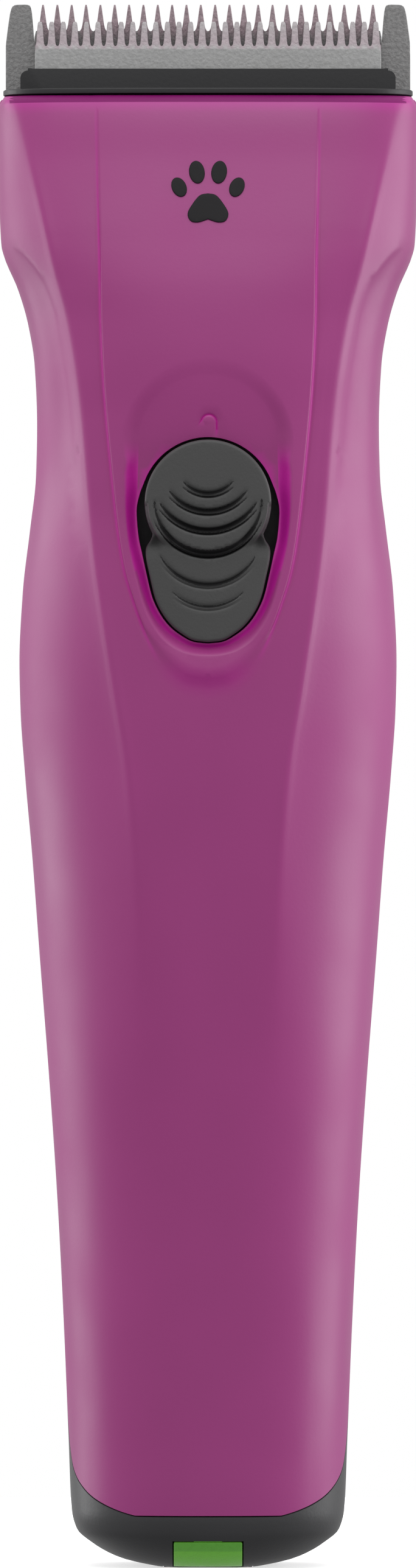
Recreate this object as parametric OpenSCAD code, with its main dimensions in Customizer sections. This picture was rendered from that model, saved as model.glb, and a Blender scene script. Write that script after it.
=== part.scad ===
// Cordless pet clipper, standing on its flat lower end with the blade set at the top.
// +Z runs along the clipper towards the blades, -Y is the switch side, X is the width.
// The origin is the middle of the flat face at the lower end.

/* [Housing] */

// Height of the front shell's top edge above the base
shell_top = 165.8; // [155:0.1:175]

// Width across the head that carries the blade set
head_w = 47; // [44:0.5:50]

// Width at the waist, just under the head
waist_w = 38.4; // [36:0.2:41]

// Width at the fullest part of the grip
grip_w = 42.6; // [40:0.2:45]

// Width just above the rounded lower end
end_w = 30.8; // [29:0.2:34]

// Depth of the front surface ahead of the centre plane at the grip
front_d = 18.4; // [17.5:0.1:20]

// Depth of the back surface behind the centre plane at the grip
back_d = 18; // [17.5:0.1:20]

// Wall thickness of both shells
wall = 2; // [1.6:0.1:2.4]

// Gap left between the two shells at the parting line
part_gap = 0.15; // [0.1:0.05:0.3]

/* [Switch] */

// Height of the centre of the round thumb pad
pad_z = 119.7; // [116:0.1:123]

// Radius of the round thumb pad
pad_r = 7.1; // [6:0.1:7.4]

// Travel of the button from off to on
switch_travel = 4; // [3:0.1:5]

// Distance of the well floor from the centre plane
well_y = 16.2; // [15.8:0.1:16.6]

/* [Blades] */

// Width of the fixed blade across its outer ears
blade_w = 46; // [44:0.5:47]

// Number of fine teeth on the fixed blade
fixed_teeth = 24; // [18:1:26]

// Tooth pitch of the fixed blade
fixed_pitch = 1.63; // [1.5:0.01:2]

// Number of teeth on the moving blade
moving_teeth = 30; // [24:1:30]

// Tooth pitch of the moving blade
moving_pitch = 1.32; // [1.2:0.01:1.6]

// Half of the moving blade's side-to-side stroke, and the cam's throw
throw = 1.1; // [0.8:0.1:1.2]

// Travel of the length lever to each side of its middle stop
lever_travel = 4; // [3:0.1:4.2]

// Rise of the moving blade for each millimetre of lever travel
lever_ratio = 0.225; // [0.15:0.005:0.25]

/* [Drive and power] */

// Outer radius of the motor can
motor_r = 10.8; // [10:0.1:11]

// Length of the motor can
motor_len = 31; // [26:0.5:32]

// Radius of the battery cell
cell_r = 9; // [7:0.1:9.2]

// Length of the battery cell
cell_len = 65; // [50:0.5:65.5]

// Radius of the round bore of the charging socket
socket_r = 2.05; // [1.7:0.05:2.6]

/* [Hidden] */

kz = shell_top / 165.8;
motor_y = 1;
pivot_y = 8.8;
pivot_z = shell_top - 19.6;
plate_z = shell_top - 22.9;
motor_top = plate_z - 0.3;
motor_bot = motor_top - motor_len;
cam_z = plate_z + 2.7;
bear_z = cam_z + 4.4;
back_top = shell_top - 22.1;
lever_z = shell_top - 5;
tip_z = shell_top + 10.95;
cell_z = 34;
cell_y = 3;
pcb_y = -7.6;
pcb_t = 1.6;
pcb_top = 106;
pcb_bot = 12;
sock_y = 3.4;
low_screw = [11, 24];
high_screw = [14.4, 101.5];
screw_floor = 8;

// Stations of the housing: height, half width, front depth, back depth, squareness.
rows = [
  [0, end_w / 2 - 9.4, 7.4, 7.4, 2.4],
  [0.35, end_w / 2 - 7.6, 8.9, 8.7, 2.4],
  [0.8, end_w / 2 - 5.8, 10, 9.7, 2.4],
  [1.6, end_w / 2 - 3.9, 11.5, 11, 2.4],
  [2.6, end_w / 2 - 2.3, 12.8, 12.1, 2.5],
  [4.1, end_w / 2 - 0.6, 14, 13.1, 2.6],
  [6.3, end_w / 2, 14.7, 13.7, 2.6],
  [14, end_w / 2 + 0.35, 15.1, 14.2, 2.6],
  [25, end_w / 2 + 0.8, 15.5, 14.8, 2.6],
  [40, end_w / 2 + 1.55, 16.2, 15.7, 2.5],
  [55, end_w / 2 + 2.55, front_d - 1.4, back_d - 1.4, 2.5],
  [68, grip_w / 2 - 2.35, front_d - 0.8, back_d - 0.7, 2.4],
  [80, grip_w / 2 - 1.45, front_d - 0.4, back_d - 0.3, 2.4],
  [89, grip_w / 2 - 0.65, front_d - 0.1, back_d, 2.4],
  [97, grip_w / 2 - 0.1, front_d, back_d, 2.4],
  [102, grip_w / 2, front_d - 0.05, back_d - 0.1, 2.4],
  [110, grip_w / 2 - 0.4, front_d - 0.25, back_d - 0.5, 2.4],
  [117, waist_w / 2 + 0.85, front_d - 0.45, back_d - 1.1, 2.4],
  [123, waist_w / 2 + 0.15, front_d - 0.6, back_d - 1.8, 2.5],
  [129, waist_w / 2, front_d - 0.75, back_d - 2.6, 2.5],
  [135.5, waist_w / 2 + 0.25, front_d - 1, back_d - 3.4, 2.6],
  [140, waist_w / 2 + 0.95, front_d - 1.5, back_d - 3.9, 2.6],
  [144, head_w / 2 - 2.2, front_d - 2.2, back_d - 4.4, 2.7],
  [148.3, head_w / 2 - 0.35, front_d - 3.4, back_d - 4.4, 2.8],
  [151, head_w / 2 - 0.15, front_d - 4.2, back_d - 4.4, 2.9],
  [158, head_w / 2, front_d - 6.3, back_d - 4.4, 3],
  [164.8, head_w / 2 - 0.02, front_d - 8.3, back_d - 4.4, 3],
  [165.8, head_w / 2 - 0.2, front_d - 9, back_d - 4.4, 3]
];

// Parting line seen from the side, as distance from the centre plane and height.
parting = [
  [-40, 6.1], [-13.5, 6.1], [-12.2, 6.9], [-9.2, 8.7], [-5.2, 11.7], [-2.6, 16],
  [-0.8, 22], [0.4, 29.4], [1.6, 38], [2.6, 48], [3, 60], [3, 220], [-40, 220]
];

function sgn(v) = v < 0 ? -1 : 1;
function power(v, n) = sgn(v) * pow(abs(v), 2 / n);
function depth(s, f, b) = s < 0 ? f : b;
function ring(w, f, b, n, count = 40) = [
  for (i = [0:count - 1])
    let (a = i * 360 / count)
    [w * power(cos(a), n), depth(sin(a), f, b) * power(sin(a), n)]
];

function lift(r, inset) = inset > 0 && r[0] < 6.3 ? inset + r[0] * (6.3 - inset) / 6.3 : r[0] * kz;
function station(r, inset) = [
  for (p = ring(r[1] - inset, r[2] - inset, r[3] - inset, r[4]))
    [p[0], p[1], lift(r, inset)]
];

module housing(inset = 0) {
  for (i = [0:len(rows) - 2]) {
    low = station(rows[i], inset);
    high = station(rows[i + 1], inset);
    n = len(low);
    hull()
      polyhedron(concat(low, high), [[for (k = [0:n - 1]) k], [for (k = [2 * n - 1:-1:n]) k]]);
  }
}

// Solids drawn in the XZ plane and pushed out between two distances y0 < y1.
module xz(y0, y1) {
  translate([0, y1, 0])
    rotate([90, 0, 0])
      linear_extrude(height = y1 - y0)
        children();
}

module ycyl(x, z, y0, y1, r, f = 32) {
  translate([x, y1, z])
    rotate([90, 0, 0])
      cylinder(r = r, h = y1 - y0, $fn = f);
}

module xcyl(x0, x1, y, z, r) {
  translate([x0, y, z])
    rotate([0, 90, 0])
      cylinder(r = r, h = x1 - x0, $fn = 48);
}

module box(x0, x1, y0, y1, z0, z1) {
  translate([x0, y0, z0])
    cube([x1 - x0, y1 - y0, z1 - z0]);
}

module pair() {
  children();
  mirror([1, 0, 0])
    children();
}

module screw_at(x, z, y_head, y_tip, r_head, r_shank, h_head) {
  difference() {
    union() {
      ycyl(x, z, y_head, y_head + h_head, r_head);
      ycyl(x, z, y_tip, y_head + 0.1, r_shank);
    }
    box(x - r_head * 0.6, x + r_head * 0.6, y_head + h_head * 0.5, y_head + 3, z - 0.22, z + 0.22);
    box(x - 0.22, x + 0.22, y_head + h_head * 0.5, y_head + 3, z - r_head * 0.6, z + r_head * 0.6);
  }
}

module rod(a, b, r) {
  d = b - a;
  l = norm(d);
  translate(a)
    rotate([0, acos(d[2] / l), atan2(d[1], d[0])])
      cylinder(r = r, h = l, $fn = 24);
}

module wire(points, r) {
  for (i = [0:len(points) - 2])
    rod(points[i], points[i + 1], r);
  for (i = [1:len(points) - 2])
    translate(points[i])
      sphere(r = r + 0.04, $fn = 24);
}

module well_shape(grow) {
  hull() {
    translate([0, pad_z + 7])
      circle(r = 9.4 + grow, $fn = 48);
    translate([0, pad_z - 8.8])
      circle(r = 7.8 + grow, $fn = 48);
  }
}

module button_shape(grow) {
  hull() {
    translate([0, pad_z])
      circle(r = pad_r + grow, $fn = 48);
    translate([0, pad_z - 9])
      circle(r = 6.4 + grow, $fn = 48);
  }
}

module front_region(grow) {
  rotate([90, 0, 90])
    linear_extrude(height = 80, center = true)
      offset(delta = grow)
        polygon(parting);
}

module shell_bosses_front() {
  pair() {
    ycyl(low_screw[0], low_screw[1], -30, -1, 2.6, 24);
    ycyl(high_screw[0], high_screw[1], -30, 2.6, 2.6, 24);
    for (z = [30, 88])
      ycyl(6, z, -30, pcb_y - pcb_t - 0.1, 2, 24);
  }
}

module front_shell() {
  color([0.61, 0.31, 0.51])
    difference() {
      union() {
        intersection() {
          difference() {
            housing();
            housing(wall);
            box(-60, 60, -60, 60, shell_top - 1, shell_top + 5);
          }
          front_region(0);
        }
        intersection() {
          difference() {
            housing();
            box(-60, 60, -60, 60, shell_top - 1, shell_top + 5);
          }
          union() {
            xz(-30, -well_y + wall)
              well_shape(wall);
            shell_bosses_front();
          }
        }
        intersection() {
          difference() {
            housing();
            translate([0, 0, shell_top - 2])
              linear_extrude(height = 4)
                polygon(ring(head_w / 2 - 2.2, front_d - 11, back_d - 6.4, 3));
          }
          box(-60, 60, -60, 3, shell_top - 1.02, shell_top + 0.01);
        }
      }
      xz(-40, -well_y)
        well_shape(0);
      box(-2.1, 2.1, -30, -10, pad_z - 6.1, pad_z + 6.1 + switch_travel - 4);
      pair() {
        ycyl(low_screw[0], low_screw[1], -8, 5, 1.22, 24);
        ycyl(high_screw[0], high_screw[1], -8, 5, 1.22, 24);
        for (z = [30, 88])
          ycyl(6, z, -13.4, 0, 0.92, 24);
      }
    }
}

module back_shell() {
  color([0.22, 0.22, 0.23])
    difference() {
      union() {
        difference() {
          housing();
          housing(wall);
          front_region(part_gap);
        }
        intersection() {
          housing();
          pair() {
            ycyl(low_screw[0], low_screw[1], 0.6, 30, 3.4, 24);
            ycyl(high_screw[0], high_screw[1], 2.9, 30, 3.4, 24);
          }
        }
      }
      box(-60, 60, -60, 60, back_top, shell_top + 10);
      pair() {
        for (s = [low_screw, high_screw]) {
          ycyl(s[0], s[1], -5, 30, 1.22, 24);
          ycyl(s[0], s[1], screw_floor, 40, 2.3, 24);
        }
      }
      box(-5.1, 5.1, -5.7, 6.7, -1, 5);
      box(-4, 4, -20, -6.6, -1, 3.2);
      box(-1.8, 1.8, -11, -9.1, 2, 9);
    }
}

module head_frame() {
  color([0.1, 0.1, 0.11])
    difference() {
      union() {
        box(-17.4, 17.4, -6, 6.2, plate_z, plate_z + 2.3);
        box(-9, 9, 6, 10.7, plate_z, plate_z + 0.9);
        pair() {
          box(15.6, 17.2, -5.6, 2.7, plate_z + 2, shell_top + 0.2);
          box(5.8, 7.8, 5.6, 10.9, plate_z + 0.5, pivot_z);
        }
        box(-17.2, 17.2, -5.6, 2.7, shell_top - 2.2, shell_top + 0.2);
        intersection() {
          translate([0, 0, shell_top + 0.15])
            linear_extrude(height = 0.6)
              polygon(ring(head_w / 2 - 0.35, front_d - 9.15, back_d - 4.4, 3));
          box(-30, 30, -20, 2.8, shell_top, shell_top + 2);
        }
      }
      translate([0, motor_y, plate_z - 1])
        cylinder(r = 5, h = 5, $fn = 48);
      pair()
        translate([7.6, motor_y, plate_z - 1])
          cylinder(r = 1.15, h = 5, $fn = 24);
      xcyl(-9, 9, pivot_y, pivot_z, 1.68);
    }
}

module paw_badge() {
  color([0.13, 0.13, 0.14])
    translate([0, -(front_d - 5.25) - 0.06, 154.5 * kz])
      rotate([73.2, 0, 0])
        translate([0, -1.2, 0]) {
          cylinder(r = 2.3, h = 0.3, $fn = 48);
          pair() {
            translate([3.4, 2.1, 0])
              cylinder(r = 1, h = 0.3, $fn = 32);
            translate([1.35, 4, 0])
              cylinder(r = 1.15, h = 0.3, $fn = 32);
          }
        }
}

module switch_button() {
  color([0.23, 0.23, 0.24])
    union() {
      difference() {
        xz(-well_y - 3.4, -well_y - 0.15)
          button_shape(0);
        translate([0, -well_y - 3.4 - 29, pad_z])
          sphere(r = 30, $fn = 96);
      }
      for (k = [0:3])
        xz(-well_y - 3.5, -well_y - 2.2)
          difference() {
            translate([0, pad_z + 5.6 + k * 0.3])
              circle(r = 4.6 + k * 2, $fn = 64);
            translate([0, pad_z + 5.6 + k * 0.3])
              circle(r = 4.15 + k * 2, $fn = 64);
            translate([-20, pad_z + 4.4 - k * 1.9])
              square([40, 40]);
          }
      box(-1.8, 1.8, -well_y - 0.5, -12.7, pad_z - 6, pad_z + 2);
    }
}

module switch_slider() {
  color([0.85, 0.84, 0.8])
    difference() {
      union() {
        box(-6, 6, -14.05, -12.6, pad_z - 9, pad_z + 5);
        box(-2.6, 2.6, -14.05, -12.6, pad_z - 21.5, pad_z - 8);
      }
      box(-1.85, 1.85, -20, -10, pad_z - 6.05, pad_z + 2.05);
      box(-1.05, 1.05, -20, -10, pad_z - 20.25, pad_z - 18.15);
    }
}

module switch_knob() {
  color([0.12, 0.12, 0.12])
    box(-1, 1, -13.9, -11.4, pad_z - 20.2, pad_z - 18.2);
}

module switch_body() {
  color([0.72, 0.72, 0.7])
    difference() {
      box(-2.6, 2.6, -12.4, pcb_y - pcb_t - 0.02, pad_z - 21.7, pad_z - 12.5);
      box(-1.1, 1.1, -13, -11.3, pad_z - 20.35, pad_z - 13.9);
    }
}

module main_pcb() {
  color([0.1, 0.35, 0.2])
    difference() {
      box(-8, 8, pcb_y - pcb_t, pcb_y, pcb_bot, pcb_top);
      pair()
        for (z = [30, 88])
          ycyl(6, z, -12, 0, 1.05, 24);
    }
}

module pcb_parts() {
  color([0.08, 0.08, 0.09])
    union() {
      box(-3.5, 3.5, -11.2, pcb_y - pcb_t - 0.02, 36, 43);
      box(-6, -2, -10.6, pcb_y - pcb_t - 0.02, 50, 55);
      box(1.5, 6.5, -11.8, pcb_y - pcb_t - 0.02, 50, 55);
      ycyl(4, 68, -13.2, pcb_y - pcb_t - 0.02, 3);
      box(-6.4, -1.6, -11, pcb_y - pcb_t - 0.02, 64, 72);
      for (k = [0:4])
        box(-6.5, -4.9, -10, pcb_y - pcb_t - 0.02, 76 + k * 1.8, 76.9 + k * 1.8);
    }
}

module pcb_screws() {
  color([0.75, 0.75, 0.77])
    pair()
      for (z = [30, 88])
        screw_at(6, z, pcb_y + 0.05, -13, 1.7, 0.85, 0.9);
}

module charge_led() {
  color([0.85, 0.95, 0.85, 0.9])
    union() {
      box(-1.6, 1.6, -10.6, pcb_y - pcb_t - 0.02, pcb_bot + 0.4, pcb_bot + 2.8);
      box(-1, 1, -10.4, pcb_y - pcb_t - 0.2, pcb_bot - 0.1, pcb_bot + 0.5);
    }
}

module led_lens() {
  color([0.45, 0.75, 0.25, 0.9])
    union() {
      difference() {
        intersection() {
          box(-3.85, 3.85, -14, -6.8, 0.12, 3.05);
          xcyl(-5, 5, -8.1, 5.9, 5.95);
        }
        box(-5, 5, -9.2, -5, 2.2, 6);
      }
      box(-1.6, 1.6, -10.8, -9.3, 2, pcb_bot - 0.2);
    }
}

module battery_cell() {
  color([0.2, 0.35, 0.62])
    union() {
      translate([0, cell_y, cell_z])
        cylinder(r = cell_r, h = cell_len, $fn = 64);
      translate([0, cell_y, cell_z + cell_len - 0.5])
        cylinder(r = 3, h = 1.3, $fn = 48);
    }
}

module battery_tabs() {
  color([0.8, 0.8, 0.78])
    union() {
      box(-2.5, 2.5, cell_y - 6.5, cell_y + 2.5, cell_z + cell_len + 0.85, cell_z + cell_len + 1.1);
      box(-2.5, 2.5, cell_y - 6.5, cell_y + 2.5, cell_z - 0.3, cell_z - 0.05);
    }
}

module battery_leads() {
  color([0.75, 0.12, 0.1])
    union() {
      wire([
        [0, -2.6, cell_z + cell_len + 1.65], [2.6, -5, cell_z + cell_len + 1.5],
        [3.2, -6.9, cell_z + cell_len], [3.2, -6.9, 93.5]
      ], 0.5);
      wire([
        [0, -2.6, cell_z - 0.9], [4, -4, cell_z - 1.2], [5.4, -6.8, 29 - 3], [5.4, -6.8, 20]
      ], 0.5);
    }
}

module battery_pads() {
  color([0.3, 0.3, 0.3])
    for (z = [44, 84])
      box(-4, 4, cell_y + cell_r + 0.1, 13.4, z, z + 8);
}

module motor_can() {
  color([0.7, 0.71, 0.73])
    translate([0, motor_y, 0])
      difference() {
        union() {
          translate([0, 0, motor_bot])
            cylinder(r = motor_r, h = motor_len, $fn = 96);
          translate([0, 0, motor_top - 0.1])
            cylinder(r = 3.2, h = 1.6, $fn = 48);
        }
        translate([0, 0, motor_bot - 1])
          cylinder(r = motor_r - 0.7, h = motor_len, $fn = 96);
        translate([0, 0, motor_bot - 1])
          cylinder(r = 1.2, h = motor_len + 5, $fn = 48);
        pair()
          translate([7.6, 0, motor_top - 3])
            cylinder(r = 1.05, h = 5, $fn = 24);
      }
}

module motor_magnets() {
  color([0.35, 0.33, 0.34])
    translate([0, motor_y, motor_bot + 4])
      difference() {
        cylinder(r = motor_r - 0.75, h = 20, $fn = 96);
        translate([0, 0, -1])
          cylinder(r = motor_r - 2.6, h = 22, $fn = 96);
        box(-20, 20, -1.2, 1.2, -1, 22);
      }
}

module motor_endcap() {
  color([0.12, 0.12, 0.14])
    translate([0, motor_y, 0])
      difference() {
        union() {
          translate([0, 0, motor_bot - 2.6])
            cylinder(r = motor_r - 0.4, h = 2.55, $fn = 96);
          translate([0, 0, motor_bot - 0.1])
            cylinder(r = motor_r - 0.8, h = 2, $fn = 96);
          translate([0, 0, motor_bot - 4])
            cylinder(r = 3, h = 2, $fn = 48);
        }
        translate([0, 0, motor_bot - 5])
          cylinder(r = 1.2, h = 10, $fn = 48);
        pair()
          box(5.4, 7, -1.3, 1.3, motor_bot - 5, motor_bot + 4);
      }
}

module motor_terminals() {
  color([0.8, 0.65, 0.3])
    translate([0, motor_y, 0])
      pair()
        box(6, 6.4, -1.2, 1.2, motor_bot - 6, motor_bot + 1.5);
}

module motor_leads() {
  color([0.12, 0.12, 0.14])
    pair()
      wire([
        [6.95, motor_y, motor_bot - 5.6], [7.4, -4.4, motor_bot - 7.2],
        [7, -6.95, motor_bot - 9.8], [7, -6.95, 96.5]
      ], 0.5);
}

module motor_screws() {
  color([0.75, 0.75, 0.77])
    pair()
      translate([7.6, motor_y, 0])
        difference() {
          union() {
            translate([0, 0, plate_z + 2.35])
              cylinder(r = 1.9, h = 0.8, $fn = 32);
            translate([0, 0, motor_top - 2.5])
              cylinder(r = 1, h = 2.5 + 0.3 + 2.5, $fn = 24);
          }
          box(-1.1, 1.1, -0.2, 0.2, plate_z + 2.75, plate_z + 4);
        }
}

module motor_damper() {
  color([0.08, 0.08, 0.08])
    translate([0, motor_y, motor_bot + 6])
      difference() {
        cylinder(r = motor_r + 1.4, h = 5, $fn = 96);
        translate([0, 0, -1])
          cylinder(r = motor_r + 0.05, h = 7, $fn = 96);
      }
}

module motor_shaft() {
  color([0.82, 0.83, 0.85])
    translate([0, motor_y, motor_bot - 3.6])
      cylinder(r = 1.14, h = cam_z + 3.6 - motor_bot + 3.6, $fn = 48);
}

module rotor_core() {
  color([0.55, 0.4, 0.25])
    translate([0, motor_y, motor_bot + 5])
      difference() {
        union() {
          cylinder(r = motor_r - 3.1, h = 18, $fn = 64);
          translate([0, 0, -2.6])
            cylinder(r = 2.6, h = 3, $fn = 32);
        }
        translate([0, 0, -4])
          cylinder(r = 1.16, h = 30, $fn = 48);
        for (a = [0:60:300])
          rotate([0, 0, a])
            box(motor_r - 5.6, motor_r, -0.8, 0.8, -0.5, 19);
      }
}

module eccentric_cam() {
  color([0.86, 0.86, 0.84])
    translate([0, motor_y, cam_z])
      difference() {
        union() {
          cylinder(r = 4.4, h = 4, $fn = 64);
          translate([throw, 0, 3.9])
            cylinder(r = 1.2, h = 4.4, $fn = 48);
        }
        translate([0, 0, -1])
          cylinder(r = 1.16, h = 4.8, $fn = 48);
        translate([-3.2, 0, 1.2])
          cylinder(r = 0.9, h = 4, $fn = 32);
      }
}

module cam_bearing() {
  color([0.78, 0.8, 0.82])
    translate([throw, motor_y, bear_z])
      difference() {
        cylinder(r = 3, h = 3.4, $fn = 64);
        translate([0, 0, -1])
          cylinder(r = 1.22, h = 6, $fn = 48);
      }
}

module socket_plate() {
  color([0.14, 0.14, 0.15])
    difference() {
      union() {
        box(-5, 5, -5.6, 6.6, 0, 3.4);
        box(-6, 6, -6.5, 7.2, 3.3, 4.2);
      }
      translate([0, sock_y, -1])
        cylinder(r = socket_r + 0.3, h = 6, $fn = 48);
      pair()
        translate([3, -3.2, -1])
          cylinder(r = 1.25, h = 6, $fn = 32);
    }
}

module dc_socket() {
  color([0.1, 0.1, 0.1])
    translate([0, sock_y, 0])
      difference() {
        translate([0, 0, 4.25])
          cylinder(r = 3.7, h = 10.6, $fn = 64);
        translate([0, 0, 4])
          cylinder(r = socket_r, h = 9.25, $fn = 64);
      }
}

module charge_contacts() {
  color([0.85, 0.7, 0.35])
    pair()
      translate([3, -3.2, 0.2])
        cylinder(r = 1.15, h = 6.5, $fn = 32);
}

module housing_screws() {
  color([0.3, 0.3, 0.32])
    pair() {
      screw_at(low_screw[0], low_screw[1], screw_floor + 0.05, -7, 2.1, 1.1, 1.6);
      screw_at(high_screw[0], high_screw[1], screw_floor + 0.05, -7, 2.1, 1.1, 1.6);
    }
}

module latch_spring() {
  color([0.75, 0.76, 0.78])
    pair() {
      box(12, 17, 2.75, 3.05, shell_top - 9, shell_top - 0.4);
      box(13.4, 15.6, 3, 3.2, shell_top - 7, shell_top - 5);
    }
}

module blade_carrier() {
  color([0.07, 0.07, 0.08])
    difference() {
      union() {
        box(-21.25, 21.25, 3.4, 4.2, shell_top - 11, shell_top + 3.4);
        box(-21.25, 21.25, 3.4, 6, shell_top - 1.4, shell_top + 2.5);
        box(-20.2, 20.2, 3.4, 6, shell_top + 1, shell_top + 3.4);
        pair() {
          translate([20.2, 6, shell_top + 2.4])
            rotate([90, 0, 0])
              cylinder(r = 1.05, h = 2.6, $fn = 32);
          box(18, 23, 3.4, 8.2, shell_top - 16.4, shell_top + 0.1);
          box(18, 21.25, 3.4, 8.2, shell_top, shell_top + 2.4);
          box(21, 23, 3.4, 9.95, shell_top - 16.4, shell_top + 0.1);
          box(11.6, 23, 3.4, 9.95, shell_top - 16.4, shell_top - 8.6);
          box(8.2, 21, 5.9, 10.9, shell_top - 19, shell_top - 16.3);
        }
        box(-21, 21, 5.9, 10.9, shell_top - 17.6, shell_top - 16.3);
        box(-5.4, 5.4, 7.2, 10.4, shell_top - 19.6, shell_top - 17);
        xcyl(-9.4, 9.4, pivot_y, pivot_z, 1.6);
        pair()
          box(8.2, 9.4, 7.2, 10.4, shell_top - 19.6, shell_top - 17);
      }
      box(-11.6, 11.6, 3, 5, shell_top - 17, shell_top - 11.1);
      box(-11.6, 11.6, 3, 5, shell_top - 12, shell_top - 10.8);
      pair() {
        box(17, 21.3, 4.2, 6.25, lever_z - 3.3, lever_z + 3.3);
        box(17, 30, 4.2, 6.25, lever_z - 1.6, lever_z + 1.6);
        ycyl(17, shell_top - 12.3, 4.5, 12, 1.3, 32);
      }
    }
}

function comb(n, pitch, w_root, w_tip, z_root, z_tip) = [
  for (i = [0:n - 1])
    let (x = (i - (n - 1) / 2) * pitch)
    each [[x - w_root / 2, z_root], [x - w_tip / 2, z_tip], [x + w_tip / 2, z_tip], [x + w_root / 2, z_root]]
];

module fixed_blade() {
  h = blade_w / 2;
  color([0.68, 0.69, 0.71])
    difference() {
      xz(10, 12)
        polygon(concat(
          [[-h, shell_top - 15.6], [-h, tip_z - 1.2], [-h + 0.7, tip_z - 0.1], [-h + 2.2, tip_z - 0.1],
           [-h + 3.3, tip_z - 3.8]],
          comb(fixed_teeth, fixed_pitch, 1.05, 0.35, tip_z - 3.1, tip_z),
          [[h - 3.3, tip_z - 3.8], [h - 2.2, tip_z - 0.1], [h - 0.7, tip_z - 0.1], [h, tip_z - 1.2],
           [h, shell_top - 15.6]]
        ));
      translate([-30, 12, shell_top + 2])
        rotate([8.5, 0, 0])
          cube([60, 5, 14]);
      pair()
        ycyl(17, shell_top - 12.3, 9, 13, 1.6, 32);
      pair()
        translate([17, 10.95, shell_top - 12.3])
          rotate([-90, 0, 0])
            cylinder(r1 = 1.6, r2 = 3, h = 1.1, $fn = 48);
    }
}

module blade_screws() {
  color([0.55, 0.56, 0.58])
    pair()
      difference() {
        union() {
          ycyl(17, shell_top - 12.3, 5, 11.2, 1.25, 32);
          translate([17, 11, shell_top - 12.3])
            rotate([-90, 0, 0])
              cylinder(r1 = 1.5, r2 = 2.7, h = 0.95, $fn = 48);
        }
        box(15.2, 18.8, 11.5, 13, shell_top - 12.55, shell_top - 12.05);
      }
}

module length_lever() {
  a = atan(lever_ratio);
  run = (lever_travel + 0.15) / cos(a);
  color([0.16, 0.16, 0.17])
    difference() {
      union() {
        box(-17, 17, 4.4, 6, lever_z - 3, lever_z + 3);
        box(-23.75, 23.75, 4.4, 6, lever_z - 1.2, lever_z + 1.2);
      }
      for (x = [-10, 10])
        translate([x, 7, lever_z])
          rotate([90, a, 0])
            linear_extrude(height = 4) {
              square([2 * run, 1.84], center = true);
              for (s = [-run, run])
                translate([s, 0])
                  circle(r = 0.92, $fn = 32);
            }
    }
}

module cutter_carriage() {
  color([0.8, 0.79, 0.74])
    union() {
      box(-17.85, 17.85, 6.3, 7.9, shell_top - 7, shell_top + 1.2);
      for (x = [-10, 10])
        ycyl(x, lever_z, 4.35, 6.4, 0.8, 32);
      pair()
        box(11.5, 14.5, 7.8, 9.7, shell_top - 3.6, shell_top - 2);
    }
}

module tension_spring() {
  color([0.72, 0.73, 0.75])
    pair()
      box(1.5, 9.5, 7.95, 8.3, shell_top - 5, shell_top - 1.5);
}

module moving_blade() {
  w = moving_teeth * moving_pitch / 2 - 0.15;
  color([0.74, 0.75, 0.77])
    difference() {
      xz(8.4, 9.9)
        polygon(concat(
          [[-10, shell_top - 13.8], [-10, shell_top - 7.5], [-w, shell_top - 7.5], [-w, tip_z - 5]],
          comb(moving_teeth, moving_pitch, 0.95, 0.45, tip_z - 4.7, tip_z - 2),
          [[w, tip_z - 5], [w, shell_top - 7.5], [10, shell_top - 7.5], [10, shell_top - 13.8]]
        ));
      translate([-30, 8.4, tip_z - 5])
        rotate([-18, 0, 0])
          translate([0, -5, 0])
            cube([60, 5, 14]);
      pair() {
        box(10.2, 15.8, 8, 11, shell_top - 3.8, shell_top - 1.8);
        ycyl(6.5, shell_top - 11.5, 8, 11, 0.9, 24);
      }
    }
}

module drive_yoke() {
  color([0.88, 0.87, 0.82])
    difference() {
      union() {
        box(-9.2, 9.2, 5.7, 8.35, shell_top - 14.9, shell_top - 9.3);
        pair()
          box(3 + 2 * throw + 0.2, 7.2, -2.6, 6, shell_top - 14.9, shell_top - 12.5);
      }
      pair()
        ycyl(6.5, shell_top - 11.5, 6.4, 9, 0.9, 24);
    }
}

module yoke_screws() {
  color([0.6, 0.61, 0.63])
    pair()
      ycyl(6.5, shell_top - 11.5, 6.6, 9.85, 0.82, 24);
}

front_shell();
back_shell();
head_frame();
paw_badge();
switch_button();
switch_slider();
switch_knob();
switch_body();
main_pcb();
pcb_parts();
pcb_screws();
charge_led();
led_lens();
battery_cell();
battery_tabs();
battery_leads();
battery_pads();
motor_can();
motor_magnets();
motor_endcap();
motor_terminals();
motor_leads();
motor_screws();
motor_damper();
motor_shaft();
rotor_core();
eccentric_cam();
cam_bearing();
socket_plate();
dc_socket();
charge_contacts();
housing_screws();
latch_spring();
blade_carrier();
fixed_blade();
blade_screws();
length_lever();
cutter_carriage();
tension_spring();
moving_blade();
drive_yoke();
yoke_screws();
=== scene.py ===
"""Looks of the electric pet clipper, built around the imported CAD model.

Every length in this script is in millimetres, and MM turns it into metres. The frame is the
CAD's: +Z runs up along the body to the blades, the switch side faces -Y, X is the width.
"""

import math

import bmesh
import bpy
import numpy as np
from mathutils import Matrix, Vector
from mathutils.geometry import delaunay_2d_cdt


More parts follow.
